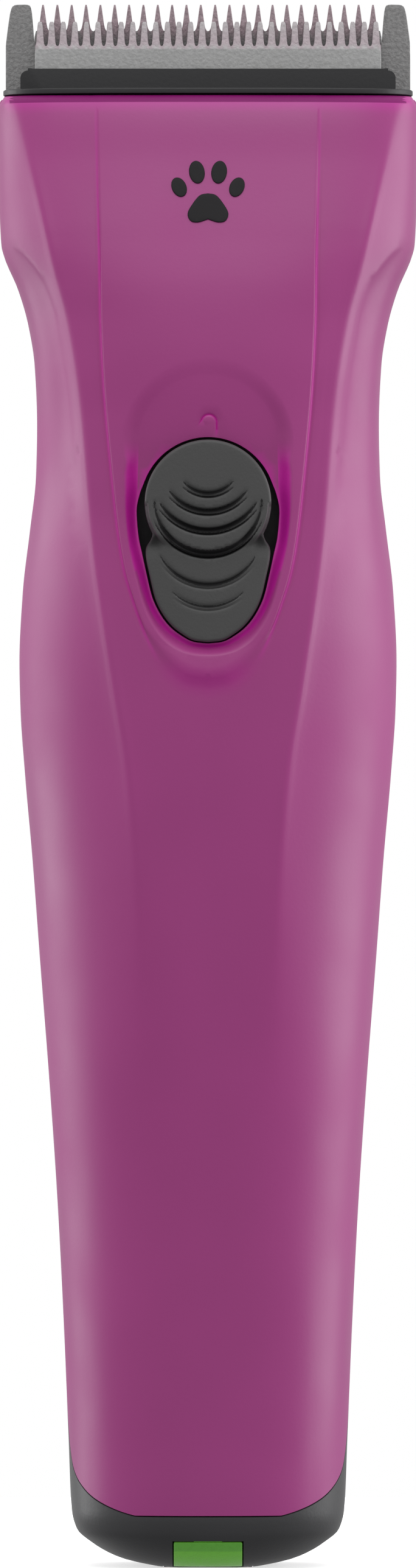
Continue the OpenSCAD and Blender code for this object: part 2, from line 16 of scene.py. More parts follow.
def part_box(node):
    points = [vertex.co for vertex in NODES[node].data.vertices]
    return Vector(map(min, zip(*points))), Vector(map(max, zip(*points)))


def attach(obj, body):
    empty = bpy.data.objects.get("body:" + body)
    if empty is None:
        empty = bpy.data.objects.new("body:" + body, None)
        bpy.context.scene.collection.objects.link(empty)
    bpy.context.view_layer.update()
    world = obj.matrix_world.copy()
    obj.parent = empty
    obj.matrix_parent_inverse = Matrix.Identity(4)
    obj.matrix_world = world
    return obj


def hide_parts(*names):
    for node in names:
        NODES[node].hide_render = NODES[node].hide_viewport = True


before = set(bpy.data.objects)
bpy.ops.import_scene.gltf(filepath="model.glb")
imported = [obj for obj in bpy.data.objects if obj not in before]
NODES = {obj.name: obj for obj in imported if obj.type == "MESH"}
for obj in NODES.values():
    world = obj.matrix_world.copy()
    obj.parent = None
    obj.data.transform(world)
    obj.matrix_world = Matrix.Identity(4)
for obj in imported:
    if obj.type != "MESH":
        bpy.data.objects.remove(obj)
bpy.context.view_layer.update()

MM = 0.001


def box_mm(node):
    """A CAD node's lowest and highest corners, in millimetres."""
    low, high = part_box(node)
    return np.array(low) / MM, np.array(high) / MM


# ---------------------------------------------------------------- body profile

HEAD_TOP = box_mm("front_shell")[1][2]
BACK_TOP = box_mm("back_shell")[1][2]
WALL = 2.0
PART_GAP = 0.15

# Height, half width, front depth, back depth, squareness of each section.
STATIONS = np.array([
    (0, 6.0, 7.4, 7.4, 2.4), (0.35, 7.8, 8.9, 8.7, 2.4), (0.8, 9.6, 10, 9.7, 2.4),
    (1.6, 11.5, 11.5, 11, 2.4), (2.6, 13.1, 12.8, 12.1, 2.5), (4.1, 14.8, 14, 13.1, 2.6),
    (6.3, 15.4, 14.7, 13.7, 2.6), (14, 15.75, 15.1, 14.2, 2.6), (25, 16.2, 15.5, 14.8, 2.6),
    (40, 16.95, 16.2, 15.7, 2.5), (55, 17.95, 17, 16.6, 2.5), (68, 18.95, 17.6, 17.3, 2.4),
    (80, 19.85, 18, 17.7, 2.4), (89, 20.65, 18.3, 18, 2.4), (97, 21.2, 18.4, 18, 2.4),
    (102, 21.3, 18.35, 17.9, 2.4), (110, 20.9, 18.15, 17.5, 2.4), (117, 20.05, 17.95, 16.9, 2.4),
    (123, 19.35, 17.8, 16.2, 2.5), (129, 19.2, 17.65, 15.4, 2.5), (135.5, 19.45, 17.4, 14.6, 2.6),
    (140, 20.15, 16.9, 14.1, 2.6), (144, 21.3, 16.2, 13.6, 2.7), (147.7, 22.9, 15.2, 13.6, 2.78),
    (148.9, 23.22, 14.82, 13.6, 2.82),
    (151, 23.35, 14.2, 13.6, 2.9), (158, 23.5, 12.1, 13.6, 3), (164.8, 23.48, 10.1, 13.6, 3),
    (165.8, 23.3, 9.4, 13.6, 3),
])

# Where the front and back shells meet, seen from the side: height and y.
PARTING = np.array([
    (6.1, -13.5), (6.9, -12.2), (8.7, -9.2), (11.7, -5.2), (16, -2.6), (22, -0.8), (29.4, 0.4),
    (38, 1.6), (48, 2.6), (60, 3), (180, 3),
])


def pchip(xs, ys, x):
    """A smooth curve through the points that never overshoots them."""
    xs, ys, x = np.asarray(xs, float), np.asarray(ys, float), np.asarray(x, float)
    h, d = np.diff(xs), np.diff(ys) / np.diff(xs)
    m = np.zeros(len(xs))
    w1, w2 = 2 * h[1:] + h[:-1], h[1:] + 2 * h[:-1]
    same = d[:-1] * d[1:] > 0
    safe = np.where(same, d[:-1], 1), np.where(same, d[1:], 1)
    m[1:-1] = np.where(same, (w1 + w2) / (w1 / safe[0] + w2 / safe[1]), 0)
    m[0], m[-1] = d[0], d[-1]
    i = np.clip(np.searchsorted(xs, x, side="right") - 1, 0, len(xs) - 2)
    t = np.clip((x - xs[i]) / h[i], 0, 1)
    return (
        ys[i] * (1 + 2 * t) * (1 - t) ** 2 + h[i] * m[i] * t * (1 - t) ** 2
        + ys[i + 1] * t * t * (3 - 2 * t) + h[i] * m[i + 1] * t * t * (t - 1)
    )


def smooth(a, b, x):
    t = np.clip((np.asarray(x, float) - a) / (b - a), 0, 1)
    return t * t * (3 - 2 * t)


def section(z):
    """Half width, front depth, back depth and squareness at height z."""
    half, front, back, power = (pchip(STATIONS[:, 0], STATIONS[:, k], z) for k in (1, 2, 3, 4))
    lip = np.clip((z - (HEAD_TOP - 0.9)) / 0.9, 0, 1)
    turn_in = 0.8 * (1 - np.sqrt(1 - 0.995 * lip * lip))
    return half - turn_in, front - turn_in, back, power


def front_y(x, z):
    """The plain front surface at (x, z), before its raised and sunk features."""
    half, front, _, n = section(z)
    t = np.clip(np.abs(x) / half, 0, 1)
    return -front * (1 - t ** n) ** (1 / n)


def corner(z):
    half, front, _, n = section(z)
    return half * 0.5 ** (1 / n), -front * 0.5 ** (1 / n)


def unroll(x, z):
    """The distance s round the section of a front view point (x, z)."""
    cx, cy = corner(z)
    return np.sign(x) * np.where(np.abs(x) <= cx, np.abs(x), cx + front_y(x, z) - cy)


def roll(s, z):
    """The outer surface at (s, z): x, y and the outward direction in the section."""
    half, front, back, n = section(z)
    cx, cy = corner(z)
    a = np.abs(s)
    y_side = cy + (a - cx)
    depth = np.where(y_side < 0, front, back)
    x_side = half * (1 - np.clip(np.abs(y_side) / depth, 0, 1) ** n) ** (1 / n)
    flat = a <= cx
    x = np.where(flat, a, x_side)
    y = np.where(flat, -front * (1 - np.clip(a / half, 0, 1) ** n) ** (1 / n), y_side)
    depth = np.where(y < 0, front, back)
    nx = (x / half) ** (n - 1) / half
    ny = np.sign(y) * (np.abs(y) / depth) ** (n - 1) / depth
    length = np.hypot(nx, ny)
    return x * np.sign(s), y, nx / length * np.sign(s), ny / length


# ---------------------------------------------------------------- plane curves

def resample(points, step, closed=False):
    """The same polyline with points about step apart."""
    p = np.asarray(points, float)
    if closed:
        p = np.vstack([p, p[:1]])
    run = np.concatenate([[0], np.cumsum(np.linalg.norm(np.diff(p, axis=0), axis=1))])
    count = max(2, int(round(run[-1] / step)))
    at = np.linspace(0, run[-1], count + 1)
    q = np.column_stack([np.interp(at, run, p[:, k]) for k in (0, 1)])
    return q[:-1] if closed else q


def spline(points, step=0.3):
    """A smooth curve through the points, sampled about step apart."""
    p = np.asarray(points, float)
    p = np.vstack([2 * p[:1] - p[1:2], p, 2 * p[-1:] - p[-2:-1]])
    out = []
    for a, b, c, d in zip(p[:-3], p[1:-2], p[2:-1], p[3:]):
        for t in np.linspace(0, 1, 12, endpoint=False):
            out.append(0.5 * (2 * b + (c - a) * t + (2 * a - 5 * b + 4 * c - d) * t * t
                              + (3 * b - a - 3 * c + d) * t ** 3))
    out.append(p[-2])
    return resample(out, step)


def mirrored(half):
    """A closed outline from its right half, which runs from top to bottom."""
    half = np.asarray(half, float)
    left = half[::-1] * (-1, 1)
    keep = np.abs(left[:, 0]) > 1e-6
    return np.vstack([half, left[keep]])


def arc(cx, cz, r, a0, a1, count=24):
    a = np.radians(np.linspace(a0, a1, count))
    return np.column_stack([cx + r * np.cos(a), cz + r * np.sin(a)])


def offset(loop, d, closed=True):
    """The curve moved sideways by d: to its left as it runs."""
    p = np.asarray(loop, float)
    before, after = np.roll(p, 1, axis=0), np.roll(p, -1, axis=0)
    if not closed:
        before[0], after[-1] = 2 * p[0] - p[1], 2 * p[-1] - p[-2]
    t = after - before
    t /= np.maximum(np.linalg.norm(t, axis=1, keepdims=True), 1e-9)
    return p + d * np.column_stack([-t[:, 1], t[:, 0]])


def distance(points, loop, closed=True):
    """How far each point is from the curve."""
    p, a = np.asarray(points, float), np.asarray(loop, float)
    b = np.roll(a, -1, axis=0) if closed else a[1:]
    best = np.full(len(p), 1e9)
    for u, v in zip(a, b):
        e = v - u
        t = np.clip(((p - u) @ e) / max(e @ e, 1e-12), 0, 1)
        best = np.minimum(best, np.hypot(*(p - u - t[:, None] * e).T))
    return best


def inside(points, loop):
    p, a = np.asarray(points, float), np.asarray(loop, float)
    odd = np.zeros(len(p), bool)
    for u, v in zip(a, np.roll(a, -1, axis=0)):
        if u[1] == v[1]:
            continue
        crosses = (u[1] > p[:, 1]) != (v[1] > p[:, 1])
        odd ^= crosses & (p[:, 0] < u[0] + (p[:, 1] - u[1]) * (v[0] - u[0]) / (v[1] - u[1]))
    return odd


def nearest(point, points):
    """The index of the one of the points that is nearest to the point."""
    return int(np.argmin(np.hypot(*(points - point).T)))


def ccw(loop):
    """The loop turning left as it runs."""
    p = np.asarray(loop, float)
    q = np.roll(p, -1, axis=0)
    return p if np.sum(p[:, 0] * q[:, 1] - q[:, 0] * p[:, 1]) > 0 else p[::-1]


def mirrored_outline(top, points, step, fine=0.3):
    """A closed outline from its right half: an arc, then a smooth curve through the points."""
    half = np.vstack([arc(*top), spline(points, fine)])
    return ccw(resample(mirrored(half), step, True))


def across(curve, z):
    """The x at height z of a curve listed from the top down."""
    x, height = np.array(curve)[::-1].T
    return pchip(height, x, z)


# ---------------------------------------------------------------- mesh makers

def triangulate(loops, lines, gap):
    """Triangles over the first loop less the others, with edges along every line."""
    verts, edges = [], []
    for k, curve in enumerate(list(loops) + list(lines)):
        closed = k < len(loops) or (len(curve) > 2 and np.allclose(curve[0], curve[-1]))
        curve = curve[:-1] if k >= len(loops) and closed else curve
        base, count = len(verts), len(curve)
        verts += [tuple(p) for p in curve]
        edges += [(base + i, base + (i + 1) % count)
                  for i in range(count if closed else count - 1)]
    fixed = np.array(verts)
    low, high = loops[0].min(axis=0), loops[0].max(axis=0)
    rows = np.arange(low[1], high[1], gap * 0.866)
    fill = np.array([(x + (gap / 2 if j % 2 else 0), z)
                     for j, z in enumerate(rows) for x in np.arange(low[0], high[0], gap)])
    if len(fill):
        keep = inside(fill, loops[0])
        for hole in loops[1:]:
            keep &= ~inside(fill, hole)
        fill = fill[keep]
    if len(fill):
        cell = {}
        for p in fixed:
            cell.setdefault((int(p[0] // gap), int(p[1] // gap)), []).append(p)
        room = []
        for p in fill:
            i, j = int(p[0] // gap), int(p[1] // gap)
            near = [q for a in (-1, 0, 1) for b in (-1, 0, 1)
                    for q in cell.get((i + a, j + b), ())]
            room.append(not near or min(math.hypot(*(p - q)) for q in near) > 0.5 * gap)
        verts += [tuple(p) for p in fill[np.array(room)]]
    co, _, faces, *_ = delaunay_2d_cdt([Vector(v) for v in verts], edges, [], 0, 1e-7)
    co, faces = np.array([tuple(v) for v in co]), np.array([tuple(f) for f in faces])
    middle = co[faces].mean(axis=1)
    keep = inside(middle, loops[0])
    for hole in loops[1:]:
        keep &= ~inside(middle, hole)
    return co, faces[keep]


def mesh_object(name, verts, faces, tint=None):
    """An object from millimetre points; tint is a number from 0 to 1 at each point."""
    data = bpy.data.meshes.new(name)
    points = [tuple(v) for v in np.asarray(verts, float) * MM]
    data.from_pydata(points, [], [list(map(int, f)) for f in faces])
    values = np.zeros(len(verts), np.float32) if tint is None else np.asarray(tint, np.float32)
    data.attributes.new("tint", "FLOAT", "POINT").data.foreach_set("value", values)
    data.validate()
    for p in data.polygons:
        p.use_smooth = True
    obj = bpy.data.objects.new(name, data)
    bpy.context.scene.collection.objects.link(obj)
    return obj


def sharpen(obj, angle=42):
    obj.data.set_sharp_from_angle(angle=math.radians(angle))
    return obj


def relief_parts(loops, front, back, lines=(), gap=1.0, back_gap=None, round_=0.0, tint=None):
    """A closed plate: front(p, drop) over the loops, back(p) behind, a wall between.

    drop is how far a point sits below the front where the front's rim is rounded.
    """
    loops = [ccw(loops[0])] + [ccw(h)[::-1] for h in loops[1:]]
    lines = list(lines)
    if round_:
        for loop in loops:
            for a in (20, 45, 70, 90):
                ring = offset(loop, round_ * (1 - math.cos(math.radians(a))))
                lines.append(np.vstack([ring, ring[:1]]))
    co, tris = triangulate(loops, lines, gap)
    edge = np.min([distance(co, loop) for loop in loops], axis=0) if round_ else None
    drop = np.zeros(len(co))
    if round_:
        t = np.clip(1 - edge / round_, 0, 1)
        drop = round_ * (1 - np.sqrt(1 - t * t))
    top = front(co, drop)
    co_b, tris_b = triangulate(loops, (), back_gap or gap * 3)
    bottom = back(co_b)
    verts = np.vstack([top, bottom])
    faces = [tuple(f) for f in tris] + [tuple(len(co) + i for i in f[::-1]) for f in tris_b]
    for loop in loops:
        ids = [(nearest(p, co), len(co) + nearest(p, co_b)) for p in loop]
        for (a, c), (b, d) in zip(ids, ids[1:] + ids[:1]):
            faces.append((b, a, c, d))
    values = np.zeros(len(verts))
    if tint is not None:
        values[:len(co)] = tint(co)
    return verts, faces, values


def joined(name, parts):
    """One object from several (verts, faces, tint) sets."""
    verts, faces, tint, base = [], [], [], 0
    for v, f, t in parts:
        verts.append(v)
        faces += [tuple(int(i) + base for i in face) for face in f]
        tint.append(t)
        base += len(v)
    return mesh_object(name, np.vstack(verts), faces, np.concatenate(tint))


def prism_parts(profile, a, b):
    """The profile, counter-clockwise in (x, z), drawn out along Y from a to b."""
    count = len(profile)
    verts = np.vstack([np.column_stack([profile[:, 0], np.full(count, y), profile[:, 1]]) for y in (a, b)])
    faces = [tuple(range(count)), tuple(range(count, 2 * count))[::-1]]
    faces += [((i + 1) % count, i, count + i, count + (i + 1) % count) for i in range(count)]
    return verts, faces, np.zeros(2 * count)


def cylinder_parts(r, a, b, at, count=48):
    """A cylinder from a to b along Y, for cutting and joining."""
    turn = np.linspace(0, 2 * math.pi, count, endpoint=False)
    x, z = at[0] + r * np.cos(turn), at[1] - r * np.sin(turn)
    verts = np.vstack([np.column_stack([x, np.full(count, y), z]) for y in (a, b)])
    faces = [tuple(range(count))[::-1], tuple(range(count, 2 * count))]
    faces += [(i, (i + 1) % count, count + (i + 1) % count, count + i) for i in range(count)]
    return verts, faces, np.zeros(2 * count)


def block_parts(x0, x1, y0, y1, z0, z1):
    v = np.array([(x, y, z) for z in (z0, z1) for x, y in ((x0, y0), (x1, y0), (x1, y1), (x0, y1))])
    f = [(3, 2, 1, 0), (4, 5, 6, 7), (0, 1, 5, 4), (1, 2, 6, 5), (2, 3, 7, 6), (3, 0, 4, 7)]
    return v, f, np.zeros(8)


def apply_all(obj):
    """Puts the result of the object's modifiers in its mesh."""
    graph = bpy.context.evaluated_depsgraph_get()
    done = bpy.data.meshes.new_from_object(obj.evaluated_get(graph))
    obj.modifiers.clear()
    old, obj.data = obj.data, done
    bpy.data.meshes.remove(old)
    return obj


def carve(obj, parts, how="DIFFERENCE"):
    """Cuts (or joins, or keeps) the overlap of obj with a solid."""
    tool = mesh_object("tool", *parts) if isinstance(parts, tuple) else parts
    mod = obj.modifiers.new("cut", "BOOLEAN")
    mod.operation, mod.solver, mod.object = how, "EXACT", tool
    bpy.context.view_layer.update()
    apply_all(obj)
    bpy.data.objects.remove(tool)
    return obj


def bevelled(obj, width, segments):
    mod = obj.modifiers.new("edge", "BEVEL")
    mod.width, mod.segments, mod.limit_method = width * MM, segments, "ANGLE"
    mod.angle_limit, mod.harden_normals, mod.use_clamp_overlap = math.radians(35), False, True
    bpy.context.view_layer.update()
    apply_all(obj)
    for p in obj.data.polygons:
        p.use_smooth = True
    return sharpen(obj, 48)


def softened(node, name, width, cuts=()):
    """A copy of a CAD node with its flat faces made whole and its edges rounded."""
    source = NODES[node].data
    bm = bmesh.new()
    bm.from_mesh(source)
    bmesh.ops.remove_doubles(bm, verts=bm.verts, dist=1e-6)
    bmesh.ops.dissolve_limit(bm, angle_limit=math.radians(1.5), verts=bm.verts, edges=bm.edges)
    data = bpy.data.meshes.new(name)
    bm.to_mesh(data)
    bm.free()
    data.attributes.new("tint", "FLOAT", "POINT")
    obj = bpy.data.objects.new(name, data)
    bpy.context.scene.collection.objects.link(obj)
    for tool in cuts:
        carve(obj, tool)
    bevelled(obj, width, 3)
    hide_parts(node)
    return obj


# ---------------------------------------------------------------- materials

def srgb(r, g, b):
    return tuple(c / 12.92 if c <= 0.04045 else ((c + 0.055) / 1.055) ** 2.4
                 for c in (r / 255, g / 255, b / 255)) + (1,)


def scaled(color, share):
    return tuple(min(1, c * share) for c in color[:3]) + (1,)


def feed(links, socket, value):
    """Sets a socket, or links another node's output to it."""
    if isinstance(value, (float, tuple)):
        socket.default_value = value
    else:
        links.new(value, socket)


def finish(name, color, rough=0.45, metal=0.0, tint=None, grain=900.0, bump=0.03, vary=0.06,
           rough_vary=0.08, stretch=(1, 1, 1), speckle=0.0, specular=0.5, **extra):
    """A procedural finish: fine grain in the bump, drifting colour and gloss, and a second colour where the
    mesh's tint is high;
    on the shell, button and blades that second colour is painted shade or painted light."""
    m = bpy.data.materials.new(name)
    m.use_nodes = True
    t = m.node_tree
    n, link = t.nodes, t.links
    bsdf = next(k for k in n if k.type == "BSDF_PRINCIPLED")
    bsdf.inputs["Metallic"].default_value = metal
    bsdf.inputs["Specular IOR Level"].default_value = specular
    for key, value in extra.items():
        bsdf.inputs[key.replace("_", " ")].default_value = value
    place = n.new("ShaderNodeTexCoord")
    scale = n.new("ShaderNodeMapping")
    scale.inputs["Scale"].default_value = stretch
    link.new(place.outputs["Object"], scale.inputs["Vector"])

    def noise(size, detail):
        k = n.new("ShaderNodeTexNoise")
        k.inputs["Scale"].default_value = size
        k.inputs["Detail"].default_value = detail
        link.new(scale.outputs["Vector"], k.inputs["Vector"])
        return k.outputs["Fac"]

    def ramp(fac, low, high):
        k = n.new("ShaderNodeMapRange")
        k.inputs["From Min"].default_value, k.inputs["From Max"].default_value = 0.3, 0.7
        k.inputs["To Min"].default_value, k.inputs["To Max"].default_value = low, high
        link.new(fac, k.inputs["Value"])
        return k.outputs["Result"]

    def mix(fac, a, b):
        k = n.new("ShaderNodeMix")
        k.data_type = "RGBA"
        for socket, value in zip((k.inputs[0], k.inputs[6], k.inputs[7]), (fac, a, b)):
            feed(link, socket, value)
        return k.outputs[2]

    drift = noise(60.0, 2.0)
    fine = noise(grain, 4.0)
    base = mix(ramp(drift, 0.0, 1.0), scaled(color, 1 - vary), scaled(color, 1 + vary))
    if speckle:
        base = mix(ramp(fine, 0.0, 1.0), scaled(color, 1 - speckle), base)
    if tint is not None:
        mask = n.new("ShaderNodeAttribute")
        mask.attribute_name = "tint"
        base = mix(mask.outputs["Fac"], base,
                   mix(ramp(fine, 0.0, 1.0), scaled(tint, 1 - vary - speckle), tint))
    link.new(base, bsdf.inputs["Base Color"])
    gloss = ramp(fine if speckle else drift, max(0.02, rough - rough_vary), min(1, rough + rough_vary))
    link.new(gloss, bsdf.inputs["Roughness"])
    grains = n.new("ShaderNodeBump")
    grains.inputs["Strength"].default_value = bump
    grains.inputs["Distance"].default_value = 0.0004
    link.new(fine, grains.inputs["Height"])
    link.new(grains.outputs["Normal"], bsdf.inputs["Normal"])
    return m


# Each finish: colour, roughness, metal, and what differs from a plain one.
LOOKS = {
    # shell_plum's tint colour is the deeper magenta of painted shade in the well, the mark, the panel's
    # foot and toe, and under the lip.
    "shell_plum": ((166, 52, 131), 0.46, 0.0, dict(
        tint=srgb(206, 22, 164), grain=2600, bump=0.03, vary=0.03, specular=0.65)),
    # A darker plum for painted shade on the band just under the head's top lip.
    "shell_lip_painted_shade": ((134, 16, 106), 0.55, 0.0, dict(grain=2600, specular=0.3)),
    # Black painted shade for the shadowed gap round the switch button and the deepest parts of its rib
    # grooves.
    "painted_shade_black": ((12, 11, 13), 0.7, 0.0, dict(grain=1800, bump=0.1)),
    "shell_dark": ((62, 62, 64), 0.42, 0.0, dict(grain=2400, bump=0.06)),
    "frame_black": ((40, 40, 42), 0.46, 0.0, dict(grain=2400, bump=0.05, tint=srgb(30, 30, 31))),
    "badge_ink": ((26, 24, 27), 0.55, 0.0, dict(grain=2200, bump=0.03, specular=0.25)),
    # button_grey's tint colour is near-black painted shade for the rib grooves and the notch.
    "button_grey": ((74, 74, 74), 0.5, 0.0, dict(tint=srgb(14, 14, 15), grain=3200, bump=0.1, vary=0.05)),
    "plastic_natural": ((226, 222, 208), 0.42, 0.0, dict(grain=1500, bump=0.04)),
    "plastic_black": ((38, 38, 40), 0.45, 0.0, dict(grain=1800, bump=0.06)),
    "tinned_steel": ((190, 190, 184), 0.35, 1.0, dict(grain=1600, bump=0.08)),
    "pcb_green": ((24, 92, 52), 0.28, 0.0, dict(grain=700, bump=0.06, vary=0.2)),
    "screw_steel": ((190, 192, 196), 0.3, 1.0, dict(grain=1800, bump=0.08)),
    "screw_dark": ((70, 70, 74), 0.35, 1.0, dict(grain=1800, bump=0.08)),
    "led_resin": ((224, 240, 224), 0.15, 0.0, dict(grain=900, bump=0.02)),
    "lens_green": ((112, 190, 62), 0.3, 0.0, dict(
        tint=srgb(88, 158, 64), grain=1900, bump=0.05, vary=0.05, speckle=0.1,
        Emission_Color=srgb(112, 190, 62), Emission_Strength=0.2)),
    "cell_sleeve": ((44, 88, 150), 0.3, 0.0, dict(grain=900, bump=0.02)),
    "nickel": ((200, 196, 186), 0.28, 1.0, dict(grain=1600, bump=0.06)),
    "wire_red": ((176, 30, 28), 0.4, 0.0, dict(grain=1600, bump=0.04)),
    "wire_black": ((30, 30, 32), 0.4, 0.0, dict(grain=1600, bump=0.04)),
    "foam_grey": ((78, 78, 80), 0.9, 0.0, dict(grain=1500, bump=0.6, vary=0.25)),
    "motor_steel": ((196, 198, 202), 0.3, 1.0, dict(grain=900, bump=0.08, stretch=(1, 1, 12))),
    "magnet_grey": ((60, 60, 62), 0.6, 0.4, dict(grain=1500, bump=0.2)),
    "brass_contact": ((214, 176, 92), 0.28, 1.0, dict(grain=1500, bump=0.05)),
    "rubber_black": ((28, 28, 28), 0.8, 0.0, dict(grain=1800, bump=0.2)),
    "ground_steel": ((205, 207, 210), 0.22, 1.0, dict(grain=1200, bump=0.06)),
    "copper_winding": ((184, 96, 48), 0.32, 1.0, dict(grain=1400, bump=0.4, stretch=(1, 1, 8))),
    "spring_steel": ((150, 152, 156), 0.3, 1.0, dict(grain=1200, bump=0.08)),
    # blade_steel's tint colour is painted light on the comb's teeth.
    "blade_steel": ((156, 155, 155), 0.42, 0.2, dict(
        tint=srgb(186, 164, 172), grain=2600, bump=0.35, vary=0.08, speckle=0.3, rough_vary=0.12)),
    # cutter_steel's tint colour is painted shade on the bevel, left off in painted highlight spots.
    "cutter_steel": ((194, 194, 194), 0.4, 0.2, dict(
        tint=srgb(188, 174, 180), grain=2400, bump=0.22, vary=0.06, speckle=0.16, rough_vary=0.1)),
    "lever_black": ((40, 40, 43), 0.4, 0.0, dict(grain=2000, bump=0.06)),
}
FINISHES = {name: finish(name, srgb(*color), rough, metal, **more)
            for name, (color, rough, metal, more) in LOOKS.items()}


def dress(obj, slot, body):
    """Gives a new piece its finish and the body that it rides on."""
    obj.data.materials.clear()
    obj.data.materials.append(FINISHES[slot])
    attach(obj, body)
    return obj


for node in NODES.values():
    for k, slot in enumerate(node.material_slots):
        slot.material = FINISHES[slot.material.name.split(".")[0]]

# ---------------------------------------------------------------- front shell

PAD_Z = 119.7
PANEL_LIFT = 0.36
FLOOR_Y = -16.15
MOAT_Y = -15.1
SLOT_HALF, SLOT_LOW, SLOT_HIGH = 2.1, 113.6, 125.8
CREASE_HEIGHT, CREASE_OUT, CREASE_IN = 0.95, 2.7, 4.6
BEAD_HEIGHT, BEAD_WIDTH = 0.17, 0.6
SCOOP_DEPTH, SCOOP_REACH, SCOOP_TOP = 0.95, 0.9, 149.6
GROOVE_DEPTH, GROOVE_AT, GROOVE_WIDTH = 0.13, 0.16, 0.15
MARK_DEPTH, MARK_WIDTH = 0.2, 0.14
LIP_PAINTED_SHADE = 0.87
LINES_TOP = 164.3

# Front view curves, right side, from the top down: x, z.
RIDGE = [(21.7, 166), (21.2, 164.5), (18.7, 155.2), (16.6, 146.2), (15.0, 140.2), (13.6, 131.2),
         (12.2, 114.9), (10.1, 99.5), (8.7, 90.3), (7.9, 80.5), (7.5, 71.7), (7.3, 65.2), (7.1, 50)]
SHOULDER = [(23.2, SCOOP_TOP), (20.9, 148.3), (18.5, 145.6), (17.0, 142.9), (16.1, 139.3), (14.9, 133),
            (14.2, 126)]
PANEL = [(12.6, 170), (12.55, 163), (12.07, 146.2), (11.8, 138.7), (11.2, 129.7), (9.73, 115.1),
         (8.15, 108.4), (5.67, 102.3), (3.1, 99.4), (0, 98.6)]

ridge = spline(RIDGE, 0.5)
shoulder = spline(SHOULDER, 0.4)
panel_half = spline(PANEL, 0.35)
panel = ccw(mirrored(panel_half))
well = mirrored_outline((0, 126.7, 9.4, 90, -14, 40), [
    (9.3, 123), (9.2, 119), (8.8, 114.9), (8.2, 112), (7.5, 109.2), (6.7, 106.9), (5.35, 104.7),
    (3.6, 103.25), (1.8, 102.65), (0, 102.5)], 0.4)
floor = mirrored_outline((0, 126.4, 7.62, 90, 10, 30), [
    (7.65, 123.5), (7.7, 121.2), (7.9, 119.2), (7.88, 117.4), (7.7, 115.5), (7.4, 114.1), (6.9, 111.8),
    (6.33, 109.3), (5.78, 107.9), (5.05, 106.65), (4.17, 105.6), (3.15, 104.82), (1.77, 104.07),
    (0, 103.84)], 0.4)
moat = mirrored_outline((0, PAD_Z, 7.42, 90, 22, 26), [
    (7.45, 121), (7.82, 119.3), (7.78, 117.5), (7.58, 115.6), (7.28, 114.2), (6.78, 111.8),
    (6.22, 109.4), (5.67, 108), (4.95, 106.75), (4.08, 105.72), (3.1, 104.95), (1.75, 104.2),
    (0, 103.97)], 0.35)
slot_hole = resample([(-SLOT_HALF, SLOT_LOW), (SLOT_HALF, SLOT_LOW), (SLOT_HALF, SLOT_HIGH),
                      (-SLOT_HALF, SLOT_HIGH)], 0.7, True)
mark = resample(np.vstack([arc(0.1, 128.75, 0.88, 165, -8, 16), [(0.98, 127.9)]]), 0.12)


def facets(x, z):
    """How far the long crease between the front and side facets stands proud."""
    t = np.abs(x) - across(RIDGE, z)
    tall = CREASE_HEIGHT * smooth(46, 80, z) * (1 - 0.35 * smooth(150, 166, z))
    blunt = 0.35 + 1.6 * (1 - smooth(60, 100, z))
    reach = np.where(t > 0, CREASE_OUT, CREASE_IN)
    bead = BEAD_HEIGHT * smooth(60, 95, z) * (1 - smooth(150, 164, z))
    return (tall * np.exp(-(np.sqrt(t * t + blunt * blunt) - blunt) / reach)
            + np.exp(-(t / BEAD_WIDTH) ** 2) * bead)


def scoop_depth(x, z):
    """How deep the sides are scooped below the shoulder line."""
    from_line = distance(np.column_stack([np.abs(x), z]), shoulder, False)
    below = (np.abs(x) > across(SHOULDER, np.clip(z, 126, SCOOP_TOP))) & (z < SCOOP_TOP)
    ends = smooth(112, 130, z) * (1 - smooth(148.2, 149.8, z))
    depth = np.where(below, SCOOP_DEPTH * (1 - np.exp(-from_line / SCOOP_REACH)), 0)
    return depth * ends * smooth(0.1, 3.0, section(z)[0] - np.abs(x))


def panel_gap(view):
    """How far outside the raised panel's edge each point is: negative within it."""
    right = np.column_stack([np.abs(view[:, 0]), view[:, 1]])
    return np.where(inside(view, panel), -1, 1) * distance(right, panel_half, False)


def rim_width(z):
    """The panel's sloping rim is wider round its lower end."""
    return 0.32 + 2.3 * (1 - smooth(99, 106.5, z))


def panel_rise(view):
    """The raised centre panel, with a fine groove along its foot."""
    z, gap = view[:, 1], panel_gap(view)
    wide = rim_width(z)
    step = 1 - smooth(0, 1, (gap + wide) / wide)
    lift = PANEL_LIFT * (1 - 0.8 * smooth(148, 165, z)) * (1 + 1.3 * (1 - smooth(99.5, 104.5, z)))
    groove = GROOVE_DEPTH * smooth(102, 106, z) * (1 - smooth(150, 164, z))
    return lift * step - groove * np.exp(-((gap - GROOVE_AT) / GROOVE_WIDTH) ** 2)


def well_share(view):
    """0 outside the switch well, rising down its walls to 1 on its floor."""
    a, b = distance(view, well), np.where(inside(view, floor), 0, distance(view, floor))
    return np.where(inside(view, well), a / np.maximum(a + b, 1e-6), 0)


def floor_level(z):
    """How far the switch well's floor lies below the raised panel."""
    heights = [100, 113, 119.7, 124, 127, 130, 133, 136.2]
    return pchip(heights, [1.3, 1.35, 1.35, 1.18, 0.86, 0.52, 0.24, 0.04], z)


def mark_line(view):
    """1 along the small moulded mark above the button."""
    return np.exp(-(distance(view, mark, False) / MARK_WIDTH) ** 2)


def front_skin(p, drop):
    """The front shell's outer surface, with its facets, panel, well and switch opening."""
    s, z = p[:, 0], p[:, 1]
    x, y, nx, ny = roll(s, z)
    view = np.column_stack([x, z])
    inset = drop + scoop_depth(x, z) - facets(x, z) - panel_rise(view)
    px, py = x - nx * inset, y - ny * inset
    share = well_share(view)
    py = py + floor_level(z) * (0.12 * share + 0.88 * smooth(0.02, 1.0, share))
    in_moat = inside(view, moat) & (distance(view, moat) > 0.03)
    py = np.where(in_moat, MOAT_Y, py) + MARK_DEPTH * mark_line(view)
    return np.column_stack([px, py, z])


